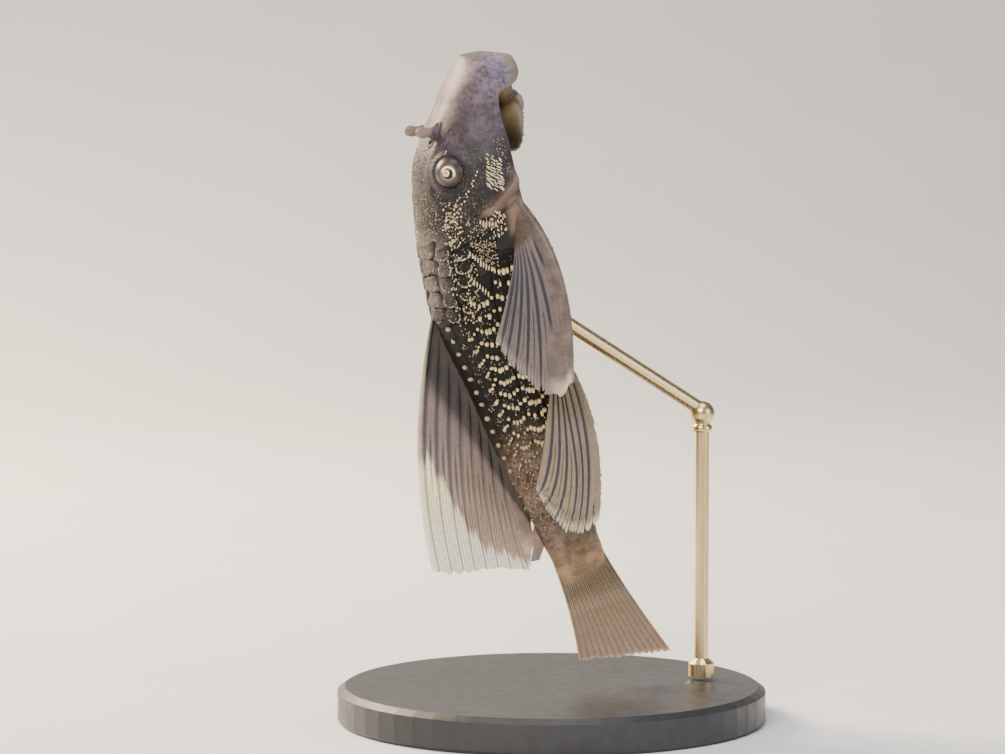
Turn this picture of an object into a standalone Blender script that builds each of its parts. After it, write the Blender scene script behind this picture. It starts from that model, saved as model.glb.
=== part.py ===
"""A bristlenose pleco as a life-size display model, hanging head up on a small rod stand.

Sizes are in millimetres and the script scales them to metres. +Z is up, the belly faces +X,
the back faces -X and the right side of the fish faces -Y. The origin is the centre of the base's underside.
"""

import math

import bmesh
import bpy
import numpy as np
from mathutils import Vector

MM = 0.001
GAP = 0.3  # clear space between pieces that touch in the real animal
FIN_THICK = 0.52  # membrane between two rays
RAY_THICK = 0.92  # a ray's ridge at the fin's root
RAY_TIP_THICK = 0.60
SPINE_THICK = 1.20  # the stout first ray of a paired fin or of the dorsal fin
SPINE_TIP_THICK = 0.70

# The body axis runs along the edge of the flat belly, from the snout down to the tail.
SNOUT_X = -6.6
SNOUT_Z = 55.7
LEAN = math.radians(13.5)
TAIL_LEAN = math.radians(25.0)
BEND_FROM = 28.0
BEND_TO = 44.0
HEAD_END = 11.8
TRUNK_END = 31.0
TAIL_END = 42.7

# Body sections along the axis: distance from the snout, half width, height of the back,
# height of the widest level, depth of the belly.
SECTIONS = np.array(
    [
        (0.0, 4.1, 1.00, -0.80, 2.95),
        (1.5, 4.5, 2.45, -0.70, 3.05),
        (2.6, 4.8, 3.55, -0.40, 2.55),
        (3.3, 5.0, 4.15, 0.00, 0.55),
        (4.3, 5.2, 4.95, 0.10, 0.25),
        (8.0, 6.2, 7.15, 0.20, 0.20),
        (11.7, 6.8, 7.90, 0.35, 0.15),
        (14.6, 6.7, 8.25, 0.50, 0.60),
        (19.5, 5.9, 8.45, 0.70, 0.80),
        (27.8, 4.5, 6.90, 0.90, 0.65),
        (34.0, 3.0, 5.80, 1.50, 0.35),
        (38.0, 2.1, 5.20, 2.00, 0.15),
        (42.7, 1.25, 4.80, 2.35, -0.35),
    ]
)
HALF, BACK, LEVEL, BELLY = 1, 2, 3, 4
NOSE_ROUND = 2.4  # length over which the snout rounds off in plan
RIM_ROUND = 0.6  # length over which its rim rounds off in profile
FRONT_SLANT = 0.24  # the lip lobe under the snout stands back from its top by this much of its depth
FRONT_LEVEL = -1.5
FRONT_LENGTH = 3.2
BACK_POWER = 2.1  # superellipse powers of the domed back and the flat belly
BELLY_POWER = 3.0

EYE_AT = 8.85
EYE_ANGLE = 46.0
EYE_RADIUS = 1.32
EYE_SINK = 0.55
BROW_RADIUS = 1.75  # the raised bony rim round the eye
BROW_HEIGHT = 0.30
BROW_WIDTH = 0.45
NOSTRIL_AT = 5.2
NOSTRIL_ANGLE = 26.0
NOSTRIL_TALL = 1.6

# Plates: rows on each side between these angles from the back, overlapping towards the tail.
ROW_EDGES = (5.0, 26.0, 46.0, 65.0, 83.0, 100.0)
PLATE_PITCH = 1.35
PLATE_HEIGHT = 0.30
PLATE_STEP = 0.16  # length of the step down behind a plate's rear edge
PLATE_BOW = 0.35  # how far the middle of a rear edge reaches back past its corners

SHOULDER_END = 15.0  # the smooth shoulder round the breast fin's root has no plates
SHOULDER_ANGLE = 62.0

CHEEK_SPINES = 8
CHEEK_AT = 8.9
CHEEK_ANGLE = 76.0
CHEEK_LENGTH = 0.85

MOUTH_AT = 5.9
MOUTH_LONG = 2.55
MOUTH_WIDE = 4.1
BARBEL_TURN = math.radians(52.0)

DORSAL_RAYS = 8
CAUDAL_RAYS = 15
ANAL_RAYS = 5
PECTORAL_RAYS = 7
PELVIC_RAYS = 6
RAY_FOOT = 0.26  # half width of a ray's ridge, as a share of the way to the next ray
MEMBRANE_REACH = 0.985  # the membrane's edge dips in between two rays' tips
PAIRED_LIFT = 0.45  # a paired fin's root stands this far off the skin

BASE_RADIUS = 18.0
BASE_HEIGHT = 3.0
POST_X = 13.0
POST_TOP = 25.0
ROD_RADIUS = 0.6
COLLAR_RADIUS = 1.1
ARM_AT = 22.0  # where the arm meets the belly, along the axis

SIDES = {"right": 1.0, "left": -1.0}


def material(name, colour, roughness, metallic=0.0):
    made = bpy.data.materials.new(name)
    made.use_nodes = True
    shader = made.node_tree.nodes["Principled BSDF"]
    shader.inputs["Base Color"].default_value = (*colour, 1.0)
    shader.inputs["Roughness"].default_value = roughness
    shader.inputs["Metallic"].default_value = metallic
    return made


def slopes(x, y):
    """Slopes of a curve through the points that never overshoots them."""
    step = np.diff(y) / np.diff(x)
    inner = np.where(step[:-1] * step[1:] > 0, 2 * step[:-1] * step[1:] / (step[:-1] + step[1:] + 1e-12), 0)
    return np.concatenate([step[:1], inner, step[-1:]])


def size_at(column, s):
    """A body size at distance s along the axis, on a smooth curve through the sections."""
    x, y = SECTIONS[:, 0], SECTIONS[:, column]
    m = slopes(x, y)
    s = min(max(s, x[0]), x[-1])
    i = min(int(np.searchsorted(x, s, side="right")) - 1, len(x) - 2)
    h = x[i + 1] - x[i]
    t = (s - x[i]) / h
    a = (1 + 2 * t) * (1 - t) ** 2 * y[i] + t * (1 - t) ** 2 * h * m[i]
    return a + t * t * (3 - 2 * t) * y[i + 1] + t * t * (t - 1) * h * m[i + 1]


def lean_at(s):
    share = min(max((s - BEND_FROM) / (BEND_TO - BEND_FROM), 0.0), 1.0)
    return LEAN + (TAIL_LEAN - LEAN) * share


def axis_at(s):
    """(x, z) of the body axis at distance s from the snout."""
    steps = max(int(abs(s) / 0.25), 1)
    x, z = SNOUT_X, SNOUT_Z
    for k in range(steps):
        lean = lean_at((k + 0.5) * s / steps)
        x += math.sin(lean) * s / steps
        z -= math.cos(lean) * s / steps
    return x, z


def place(s, d, w=0.0):
    """Millimetre point at distance s along the axis, height d towards the back and w towards the fish's right."""
    x, z = axis_at(s)
    lean = lean_at(s)
    return Vector((x - d * math.cos(lean), -w, z - d * math.sin(lean)))


def rounding(s, length):
    if s >= length:
        return 1.0
    return math.sqrt(max(1 - (1 - s / length) ** 2, 0.0))


def body_point(s, angle):
    """Skin point at an angle from the back: 0 on the back, 90 at the widest level, 180 under the belly."""
    turn = math.radians(angle)
    across, up = math.sin(turn), math.cos(turn)
    power = BACK_POWER if up > 0 else BELLY_POWER
    reach = (abs(across) ** power + abs(up) ** power) ** (-1 / power)
    half = size_at(HALF, s) * rounding(s, NOSE_ROUND)
    rim = rounding(s, RIM_ROUND)
    level = size_at(LEVEL, s)
    tall = (size_at(BACK, s) - level) * rim
    deep = (size_at(BELLY, s) + level) * rim
    height = level + up * reach * (tall if up > 0 else deep)
    slant = FRONT_SLANT * (height - FRONT_LEVEL) * max(1 - s / FRONT_LENGTH, 0.0)
    return place(s - slant, height, across * reach * half)


def lifted(s, angle, lift):
    """A point that stands off the skin by lift, and the skin's outward normal there."""
    along = body_point(s + 0.1, angle) - body_point(s - 0.1, angle)
    around = body_point(s, angle + 1.0) - body_point(s, angle - 1.0)
    normal = along.cross(around).normalized()
    return body_point(s, angle) + normal * lift, normal


def add_object(name, mesh, look):
    made = bpy.data.objects.new(name, mesh)
    bpy.context.scene.collection.objects.link(made)
    mesh.materials.clear()
    mesh.materials.append(look)
    return made


def smoothed(mesh):
    mesh.shade_smooth()
    mesh.set_sharp_from_angle(angle=math.radians(40))
    return mesh


def closed_mesh(name, rings):
    """A closed mesh from rings of equal length, with a flat or pointed cap on each end."""
    work = bmesh.new()
    loops = [[work.verts.new(Vector(p) * MM) for p in ring] for ring in rings]
    count = len(loops[0])
    for first, second in zip(loops, loops[1:]):
        for i in range(count):
            j = (i + 1) % count
            work.faces.new((first[i], first[j], second[j], second[i]))
    for loop in (loops[0], loops[-1]):
        centre = sum((v.co for v in loop), Vector()) / count
        pole = work.verts.new(centre)
        for i in range(count):
            work.faces.new((loop[i], loop[(i + 1) % count], pole))
    bmesh.ops.recalc_face_normals(work, faces=work.faces)
    mesh = bpy.data.meshes.new(name)
    work.to_mesh(mesh)
    work.free()
    return smoothed(mesh)


def cut(target, tool):
    """Cuts tool out of target, and removes tool."""
    change = target.modifiers.new("cut", "BOOLEAN")
    change.operation = "DIFFERENCE"
    change.object = tool
    apply_modifiers(target)
    bpy.data.objects.remove(tool)


def fuse(target, pieces):
    """Joins closed pieces into target by one union, and removes them."""
    group = bpy.data.collections.new("pieces")
    for piece in pieces:
        group.objects.link(piece)
    change = target.modifiers.new("fuse", "BOOLEAN")
    change.operation = "UNION"
    change.operand_type = "COLLECTION"
    change.collection = group
    apply_modifiers(target)
    for piece in pieces:
        bpy.data.objects.remove(piece)
    bpy.data.collections.remove(group)


def keep_largest(target):
    """Drops every closed surface of the mesh but the largest."""
    work = bmesh.new()
    work.from_mesh(target.data)
    left, bodies = set(work.verts), []
    while left:
        reached, edge = set(), [left.pop()]
        while edge:
            vert = edge.pop()
            reached.add(vert)
            near = {e.other_vert(vert) for e in vert.link_edges} & left
            left -= near
            edge += near
        bodies.append(reached)
    bodies.sort(key=len)
    bmesh.ops.delete(work, geom=[v for body in bodies[:-1] for v in body], context="VERTS")
    work.to_mesh(target.data)
    work.free()


def apply_modifiers(target):
    graph = bpy.context.evaluated_depsgraph_get()
    mesh = bpy.data.meshes.new_from_object(target.evaluated_get(graph))
    target.modifiers.clear()
    target.data = mesh


def ball(name, centre, radius, look, segments=20):
    work = bmesh.new()
    bmesh.ops.create_uvsphere(work, u_segments=segments, v_segments=segments // 2, radius=radius * MM)
    bmesh.ops.translate(work, verts=work.verts, vec=Vector(centre) * MM)
    mesh = bpy.data.meshes.new(name)
    work.to_mesh(mesh)
    work.free()
    mesh.shade_smooth()
    return add_object(name, mesh, look)


def eye_centre(side):
    return lifted(EYE_AT, side * EYE_ANGLE, -EYE_SINK)[0]


def brow(point, side):
    """Height of the raised rim round the eye of that side, at a skin point."""
    away = (point - eye_centre(side)).length - BROW_RADIUS
    return BROW_HEIGHT * math.exp(-((away / BROW_WIDTH) ** 2))


def cheek_spines(look):
    """The erectile bristles on each cheek, pointing back and out."""
    spines = []
    for side in SIDES.values():
        for i in range(CHEEK_SPINES):
            row, step = i % 2, i // 2
            s = CHEEK_AT + 0.62 * step + 0.2 * row
            angle = side * (CHEEK_ANGLE + 7.0 * row - 2.0 * step)
            root, normal = lifted(s, angle, -0.45)
            back = (body_point(s + 0.5, angle) - body_point(s, angle)).normalized()
            length = CHEEK_LENGTH * (0.75 + 0.13 * step)
            tip = root + (normal * 0.85 + back * 0.75).normalized() * (length + 0.5)
            taper = [(0.0, 0.24), (0.55, 0.17), (1.0, 0.06)]
            spines.append(spindle("cheek_spine", root, tip, taper, look, 6))
    return spines


def make_head(look):
    steps, around = 22, 36
    rings = []
    for i in range(steps + 1):
        s = 0.02 + (HEAD_END - 0.02) * (i / steps) ** 1.5
        ring = []
        for k in range(around):
            angle = 360.0 * k / around
            point, normal = lifted(s, angle, 0.0)
            lift = sum(brow(point, side) for side in SIDES.values()) if s > 4 else 0.0
            ring.append(point + normal * lift)
        rings.append(ring)
    head = add_object("head", closed_mesh("head", rings), look)
    fuse(head, cheek_spines(look))
    for side in SIDES.values():
        cut(head, ball("socket", eye_centre(side), EYE_RADIUS + GAP, look, 16))
    keep_largest(head)
    return head


def plate_columns():
    """(angle, row, place across the row) of each lengthwise line of points on the right side."""
    columns = [(0.0, 0, 0.0)]
    for row, (low, high) in enumerate(zip(ROW_EDGES, ROW_EDGES[1:])):
        columns += [(low + (high - low) * v, row, v) for v in (0.0, 0.25, 0.5, 0.75)]
    last = ROW_EDGES[-1]
    return columns + [(last + (180.0 - last) * v, -1, 0.0) for v in (0.0, 0.25, 0.5, 0.75)]


def plated(start, end, s, column, side, lift):
    """A skin point with the plates' zigzag edges, lifted where its plate stands up."""
    angle, row, across = column
    crown = 4 * across * (1 - across)
    calm = min((s - start) / PLATE_PITCH, (end - s) / PLATE_PITCH, 1.0)
    if row < 0 or s < SHOULDER_END and angle > SHOULDER_ANGLE:
        crown = calm = 0.0
    shift = calm * ((row % 2) * PLATE_PITCH / 2 + PLATE_BOW * crown)
    return lifted(min(s + shift, end), side * angle, lift * crown)[0]


def make_plated_length(name, start, end, look):
    """A length of the body whose plates overlap towards the tail, each with a raised rear edge."""
    count = round((end - start) / PLATE_PITCH)
    pitch = (end - start) / count
    stations = [(start, 0.0)]
    for k in range(1, count + 1):
        stations += [(start + pitch * k - PLATE_STEP, PLATE_HEIGHT), (start + pitch * k, 0.0)]
    right = plate_columns()
    rings = []
    for s, lift in stations:
        ring = [plated(start, end, s, column, 1.0, lift) for column in right]
        ring.append(body_point(s, 180.0))
        ring += [plated(start, end, s, column, -1.0, lift) for column in reversed(right[1:])]
        rings.append(ring)
    return add_object(name, closed_mesh(name, rings), look)


def disc_point(turn, share, drop):
    """A point of the mouth disc: turn goes round it, share of its plan size, drop below the body's axis."""
    along, across = math.cos(turn), math.sin(turn)
    reach = (abs(along) ** 2.6 + abs(across) ** 2.6) ** (-1 / 2.6)
    return place(MOUTH_AT - MOUTH_LONG * share * along * reach, -drop, MOUTH_WIDE * share * across * reach)


def make_mouth_disc(look):
    """The sucker mouth: a flaring cup whose rim stands highest at the front."""
    around, lean = 36, 0.55
    layers = [
        # share of the plan size, drop below the axis, share of the rim's lean
        (0.78, 0.62, 0.0),
        (0.82, 0.85, 0.3),
        (0.95, 1.45, 0.9),
        (1.00, 1.80, 1.0),
        (0.95, 2.02, 1.0),
        (0.84, 1.92, 1.0),
        (0.66, 1.55, 0.8),
        (0.40, 1.40, 0.3),
    ]
    rings = []
    for share, drop, part in layers:
        turns = [2 * math.pi * i / around for i in range(around)]
        rings.append([disc_point(t, share, drop + lean * part * math.cos(t)) for t in turns])
    return add_object("mouth_disc", closed_mesh("mouth_disc", rings), look)


def spindle(name, start, end, radii, look, around=10):
    """A straight round piece; radii lists (share of the length, radius)."""
    start, end = Vector(start), Vector(end)
    way = (end - start).normalized()
    first = way.orthogonal().normalized()
    second = way.cross(first)
    rings = []
    for share, radius in radii:
        centre = start.lerp(end, share)
        turns = [2 * math.pi * i / around for i in range(around)]
        rings.append([centre + (first * math.cos(t) + second * math.sin(t)) * radius for t in turns])
    return add_object(name, closed_mesh(name, rings), look)


def make_barbel(name, side, look):
    """A short fleshy barbel beside the disc's front corner."""
    turn = side * BARBEL_TURN
    thick = 0.34
    rim = disc_point(turn, 1.0, 2.1)
    out = (rim - disc_point(turn, 0.5, 2.1)).normalized()
    root = rim + out * (GAP + thick)
    tip = root + out * 0.75 + (place(MOUTH_AT + 1.0, 0) - place(MOUTH_AT, 0)) * 1.25
    return spindle(name, root, tip, [(0.0, thick), (0.5, 0.30), (0.85, 0.2), (1.0, 0.10)], look)


def bow(root, knee, tip, share):
    """A point on the curve from root to tip that leans towards knee."""
    return root * (1 - share) ** 2 + knee * 2 * share * (1 - share) + tip * share**2


def ridge(is_ray, is_spine, share):
    """Thickness of the fin at a share of its length: a tapering ray or spine, or the membrane between."""
    if is_spine:
        return SPINE_THICK + (SPINE_TIP_THICK - SPINE_THICK) * share
    return RAY_THICK + (RAY_TIP_THICK - RAY_THICK) * share if is_ray else FIN_THICK


def blade(name, rays, along, look, spined=True):
    """A fin from its rays, each (root, knee, tip), raised as ridges with flat membrane between."""
    columns = []
    for i, ray in enumerate(rays):
        columns.append((ray, True, spined and i == 0))
        for mix in (RAY_FOOT, 1 - RAY_FOOT) if i + 1 < len(rays) else ():
            columns.append(([a.lerp(b, mix) for a, b in zip(ray, rays[i + 1])], False, False))
    shares = [v / along for v in range(along + 1)]
    lengths = [1.0 if is_ray else MEMBRANE_REACH for _, is_ray, _ in columns]
    grid = np.array([[bow(*ray, v * long) for v in shares] for (ray, _, _), long in zip(columns, lengths)])
    normal = np.cross(np.gradient(grid, axis=0), np.gradient(grid, axis=1))
    normal /= np.linalg.norm(normal, axis=2, keepdims=True)
    thick = np.array([[ridge(is_ray, is_spine, v) for v in shares] for _, is_ray, is_spine in columns])
    half = normal * thick[..., None] / 2
    return add_object(name, sheet_mesh(name, grid + half, grid - half), look)


def sheet_mesh(name, front, back):
    """A closed mesh between two grids of points, split into triangles alike on both faces."""
    work = bmesh.new()
    rows, columns = front.shape[:2]
    sides = [[[work.verts.new(Vector(p) * MM) for p in row] for row in face] for face in (front, back)]
    for i in range(rows - 1):
        for j in range(columns - 1):
            for face in sides:
                work.faces.new((face[i][j], face[i + 1][j], face[i + 1][j + 1]))
                work.faces.new((face[i][j], face[i + 1][j + 1], face[i][j + 1]))
    edge = [(i, 0) for i in range(rows)] + [(rows - 1, j) for j in range(1, columns)]
    edge += [(i, columns - 1) for i in range(rows - 2, -1, -1)] + [(0, j) for j in range(columns - 2, 0, -1)]
    for (a, b), (c, d) in zip(edge, edge[1:] + edge[:1]):
        work.faces.new((sides[0][a][b], sides[0][c][d], sides[1][c][d], sides[1][a][b]))
    bmesh.ops.recalc_face_normals(work, faces=work.faces)
    mesh = bpy.data.meshes.new(name)
    work.to_mesh(mesh)
    work.free()
    return smoothed(mesh)


def fan(count):
    """Shares from 0 to 1, one for each ray of a fin, from its leading edge to its last."""
    return [i / (count - 1) for i in range(count)]


def make_dorsal_fin(look):
    """The sail along the back, folded down over the tail's root."""
    rays = []
    for u in fan(DORSAL_RAYS):
        root = lifted(19.7 + 14.1 * u, 0.0, GAP)[0]
        tip = place(38.5 + 2.1 * u**0.4 + 1.2 * u**3, 14.3 - 7.5 * u)
        knee = (root + tip) / 2 + place(0, 1.8 - 1.3 * u) - place(0, 0)
        rays.append((root, knee, tip))
    return blade("dorsal_fin", rays, 8, look)


def make_adipose_fin(look):
    rays = []
    for u in fan(3):
        root = lifted(38.7 + 1.9 * u, 0.0, GAP)[0]
        tip = place(41.2 + 0.2 * u, size_at(BACK, 38.7) + 1.4 - 0.9 * u)
        rays.append((root, (root + tip) / 2, tip))
    return blade("adipose_fin", rays, 3, look)


def make_caudal_fin(look):
    """The tail fin, its lower lobe the longer one."""
    rays = []
    for u in fan(CAUDAL_RAYS):
        root = place(TAIL_END + GAP, 4.75 - 4.3 * u)
        tip = place(50.5 + 2.9 * u, 6.15 - 7.55 * u)
        knee = place(47.0, 5.0 - 5.0 * u)
        rays.append((root, knee, tip))
    return blade("caudal_fin", rays, 7, look, spined=False)


def make_anal_fin(look):
    rays = []
    for u in fan(ANAL_RAYS):
        root = lifted(31.8 + 1.7 * u, 180.0, GAP)[0]
        tip = place(37.3 - 0.9 * u, -1.7 + 1.0 * u)
        rays.append((root, (root + tip) / 2, tip))
    return blade("anal_fin", rays, 4, look)


def make_pectoral_fin(name, side, look):
    """The breast fin, bowed out and back from behind the gill opening, with a stout leading spine."""
    rays = []
    for u in fan(PECTORAL_RAYS):
        root = lifted(12.8 + 1.0 * u, side * (96.0 - 20.0 * u), PAIRED_LIFT)[0]
        knee = place(17.6 - 0.6 * u, -2.5 + 6.6 * u, side * (11.4 - 2.2 * u))
        tip = place(28.2 - 1.2 * u - 4.5 * u**3, 0.5 + 5.2 * u - 0.7 * u * u, side * (10.0 - 2.8 * u))
        rays.append((root, knee, tip))
    return blade(name, rays, 8, look)


def make_pelvic_fin(name, side, look):
    """The belly fin, a rounded fan spread beside the tail's root."""
    rays = []
    for u in fan(PELVIC_RAYS):
        root = lifted(24.2 + 1.2 * u, side * (122.0 - 16.0 * u), PAIRED_LIFT)[0]
        knee = place(30.5 - 1.0 * u, -2.6 + 4.6 * u, side * (7.6 - 1.2 * u))
        tip = place(38.7 + 5.2 * u - 8.9 * u * u, 0.85 + 7.0 * u - 3.15 * u * u, side * (7.6 - 1.8 * u))
        rays.append((root, knee, tip))
    return blade(name, rays, 7, look)


def make_nostril_flap(name, side, look):
    """The skin flap that stands between the two openings of a nostril, knobbed at its end."""
    root, normal = lifted(NOSTRIL_AT, side * NOSTRIL_ANGLE, GAP)
    up = place(NOSTRIL_AT, 1.0) - place(NOSTRIL_AT, 0.0)
    forward = place(NOSTRIL_AT - 1.0, 0.0) - place(NOSTRIL_AT, 0.0)
    way = (normal * 0.35 + up + forward * 0.05).normalized()
    ahead = (forward - way * forward.dot(way)).normalized()
    out = way.cross(ahead)
    sizes = [(0.0, 0.55, 0.42), (0.4, 0.36, 0.28), (0.75, 0.56, 0.32), (0.92, 0.5, 0.3), (1.0, 0.25, 0.16)]
    rings = []
    for share, wide, thick in sizes:
        centre = root + way * (NOSTRIL_TALL * share)
        turns = [2 * math.pi * i / 12 for i in range(12)]
        flat = share == 0.0
        ring = [centre + ahead * (wide * math.cos(t)) + out * (thick * math.sin(t)) for t in turns]
        if flat:
            ring = [p - way * ((p - root).dot(normal) / way.dot(normal)) for p in ring]
        rings.append(ring)
    return add_object(name, closed_mesh(name, rings), look)


def make_stand(dark, metal):
    """A round base, a post from its edge and an arm up to the middle of the belly."""
    profile = [(0.985, 0.0), (1.0, 0.1), (1.0, 0.86), (0.965, 1.0)]
    turns = [2 * math.pi * i / 56 for i in range(56)]
    rings = []
    for share, high in profile:
        radius = BASE_RADIUS * share
        rings.append([Vector((math.cos(t) * radius, math.sin(t) * radius, BASE_HEIGHT * high)) for t in turns])
    add_object("stand_base", closed_mesh("stand_base", rings), dark)
    foot = Vector((POST_X, 0, BASE_HEIGHT + GAP))
    head = Vector((POST_X, 0, POST_TOP))
    collar = [(0.0, COLLAR_RADIUS), (0.05, COLLAR_RADIUS), (0.07, ROD_RADIUS), (1.0, ROD_RADIUS)]
    spindle("stand_post", foot, head, collar, metal, 14)
    belly = lifted(ARM_AT, 180.0, GAP)[0]
    start = head + Vector((0, 0, ROD_RADIUS + GAP))
    spindle("stand_arm", start, belly, [(0.0, ROD_RADIUS), (1.0, ROD_RADIUS)], metal, 14)


def main():
    for old in list(bpy.data.objects):
        bpy.data.objects.remove(old)
    skin = material("skin", (0.16, 0.13, 0.11), 0.55)
    lip = material("lip", (0.42, 0.35, 0.36), 0.5)
    fin = material("fin", (0.30, 0.23, 0.17), 0.5)
    iris = material("eye", (0.30, 0.20, 0.12), 0.12)
    dark = material("stand_dark", (0.02, 0.02, 0.022), 0.45)
    metal = material("stand_metal", (0.70, 0.55, 0.30), 0.3, 1.0)
    make_head(skin)
    make_plated_length("trunk", HEAD_END + GAP, TRUNK_END, skin)
    make_plated_length("tail", TRUNK_END + GAP, TAIL_END, skin)
    make_mouth_disc(lip)
    for label, side in SIDES.items():
        ball("eye_" + label, eye_centre(side), EYE_RADIUS, iris, 16)
        make_nostril_flap("nostril_flap_" + label, side, lip)
        make_barbel("barbel_" + label, side, lip)
        make_pectoral_fin("pectoral_fin_" + label, side, fin)
        make_pelvic_fin("pelvic_fin_" + label, side, fin)
    make_dorsal_fin(fin)
    make_adipose_fin(fin)
    make_caudal_fin(fin)
    make_anal_fin(fin)
    make_stand(dark, metal)


main()
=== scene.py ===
import math

import bmesh
import bpy
import numpy as np
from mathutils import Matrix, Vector, noise


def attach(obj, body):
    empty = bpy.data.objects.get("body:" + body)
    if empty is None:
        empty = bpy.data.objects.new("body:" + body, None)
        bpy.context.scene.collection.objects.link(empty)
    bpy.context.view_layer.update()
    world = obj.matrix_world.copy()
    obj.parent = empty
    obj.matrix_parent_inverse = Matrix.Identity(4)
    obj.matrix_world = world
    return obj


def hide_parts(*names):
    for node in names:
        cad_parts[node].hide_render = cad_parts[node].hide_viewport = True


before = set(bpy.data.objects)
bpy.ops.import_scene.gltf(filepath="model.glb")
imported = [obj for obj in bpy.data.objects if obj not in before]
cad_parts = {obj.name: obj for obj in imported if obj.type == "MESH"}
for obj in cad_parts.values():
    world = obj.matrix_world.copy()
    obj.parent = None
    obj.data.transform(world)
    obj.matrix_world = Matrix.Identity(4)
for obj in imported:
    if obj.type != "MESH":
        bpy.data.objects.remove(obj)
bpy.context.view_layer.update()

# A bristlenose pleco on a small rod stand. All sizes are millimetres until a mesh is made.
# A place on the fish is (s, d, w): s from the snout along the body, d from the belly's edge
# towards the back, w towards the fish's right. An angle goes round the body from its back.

mm = 0.001
sides = {"right": 1.0, "left": -1.0}

body = {
    "snoutX": -6.6,
    "snoutZ": 55.7,
    "lean": 13.5,  # degrees between the body and the upright, and the tail's own lean
    "tailLean": 25.0,
    "bendFrom": 28.0,
    "bendTo": 44.0,
    "noseRound": 2.4,
    "rimRound": 0.35,
    "frontSlant": 0.24,
    "frontLevel": -1.5,
    "frontLength": 3.2,
    "backPower": 2.1,
    "bellyPower": 3.0,
}

# distance from the snout, half width, height of the back, level where it is widest, depth of the belly
sections = np.array([
    (0.0, 4.1, 1.00, -0.80, 2.95),
    (1.5, 4.5, 2.45, -0.70, 3.05),
    (2.6, 4.8, 3.55, -0.40, 2.55),
    (3.3, 5.0, 4.15, 0.00, 0.55),
    (4.3, 5.2, 4.95, 0.10, 0.25),
    (8.0, 6.2, 7.15, 0.20, 0.20),
    (11.7, 6.8, 7.90, 0.35, 0.15),
    (14.6, 6.7, 8.25, 0.50, 0.60),
    (19.5, 5.9, 8.45, 0.70, 0.80),
    (27.8, 4.5, 6.90, 0.90, 0.65),
    (34.0, 3.0, 5.80, 1.50, 0.35),
    (38.0, 2.1, 5.20, 2.00, 0.15),
    (42.7, 1.25, 4.80, 2.35, -0.35),
])

axisStep = 0.02
axisS = np.arange(-3.0, 60.0, axisStep)
axisLean = np.radians(body["lean"] + (body["tailLean"] - body["lean"])
                      * np.clip((axisS - body["bendFrom"]) / (body["bendTo"] - body["bendFrom"]), 0, 1))
axisX = np.cumsum(np.sin(axisLean)) * axisStep
axisZ = -np.cumsum(np.cos(axisLean)) * axisStep
axisX += body["snoutX"] - np.interp(0, axisS, axisX)
axisZ += body["snoutZ"] - np.interp(0, axisS, axisZ)


def smoothStep(x, low, high):
    t = np.clip((x - low) / (high - low), 0, 1)
    return t * t * (3 - 2 * t)


def band(x, start, full, fading, end):
    # rises from start to full, and falls again from fading to end
    return smoothStep(x, start, full) * (1 - smoothStep(x, fading, end))


def hump(x, middle, width):
    return np.exp(-(((x - middle) / width) ** 2))


def place(s, d=0.0, w=0.0):
    s, d, w = np.broadcast_arrays(s, d, w)
    lean = np.interp(s, axisS, axisLean)
    x = np.interp(s, axisS, axisX) - d * np.cos(lean)
    z = np.interp(s, axisS, axisZ) - d * np.sin(lean)
    return np.stack([x, -w, z], axis=-1)


def toBack(s, amount=1.0):
    return place(s, amount) - place(s)


def toTail(s):
    return place(s + 1.0) - place(s)


def unplace(points):
    s = np.clip(body["snoutZ"] - points[..., 2], -2.5, 58.0)
    for _ in range(8):
        lean = np.interp(s, axisS, axisLean)
        offX = points[..., 0] - np.interp(s, axisS, axisX)
        offZ = points[..., 2] - np.interp(s, axisS, axisZ)
        s = np.clip(s + offX * np.sin(lean) - offZ * np.cos(lean), -2.9, 59.0)
    return s, -(offX * np.cos(lean) + offZ * np.sin(lean)), -points[..., 1]


def sizeAt(column, s):
    x, y = sections[:, 0], sections[:, column]
    step = np.diff(y) / np.diff(x)
    same = step[:-1] * step[1:] > 0
    inner = np.where(same, 2 * step[:-1] * step[1:] / (step[:-1] + step[1:] + 1e-12), 0)
    slope = np.concatenate([step[:1], inner, step[-1:]])
    s = np.clip(s, x[0], x[-1])
    i = np.clip(np.searchsorted(x, s, side="right") - 1, 0, len(x) - 2)
    h = x[i + 1] - x[i]
    t = (s - x[i]) / h
    return ((1 + 2 * t) * (1 - t) ** 2 * y[i] + t * (1 - t) ** 2 * h * slope[i]
            + t * t * (3 - 2 * t) * y[i + 1] + t * t * (t - 1) * h * slope[i + 1])


def rounding(s, length):
    return np.sqrt(np.clip(1 - (1 - np.clip(s, 0, length) / length) ** 2, 0, 1))


def halfWidth(s):
    rootTaper = 1 - 0.965 * smoothStep(s, 40.8, 44.7)  # the tail's root thins into the fin
    return sizeAt(1, s) * rounding(s, body["noseRound"]) * rootTaper


def bodyPoint(s, angle):
    s, angle = np.broadcast_arrays(np.asarray(s, float), np.asarray(angle, float))
    across, up = np.sin(np.radians(angle)), np.cos(np.radians(angle))
    power = np.where(up > 0, body["backPower"], body["bellyPower"])
    reach = (np.abs(across) ** power + np.abs(up) ** power) ** (-1 / power)
    rim = rounding(s, body["rimRound"])
    level = sizeAt(3, s)
    tall = np.where(up > 0, sizeAt(2, s) - level, sizeAt(4, s) + level) * rim
    height = level + up * reach * tall
    front = np.clip(1 - s / body["frontLength"], 0, None)
    slant = body["frontSlant"] * (height - body["frontLevel"]) * front
    return place(s - slant, height, across * reach * halfWidth(s))


def unit(v):
    return v / np.maximum(np.linalg.norm(v, axis=-1, keepdims=True), 1e-12)


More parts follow.
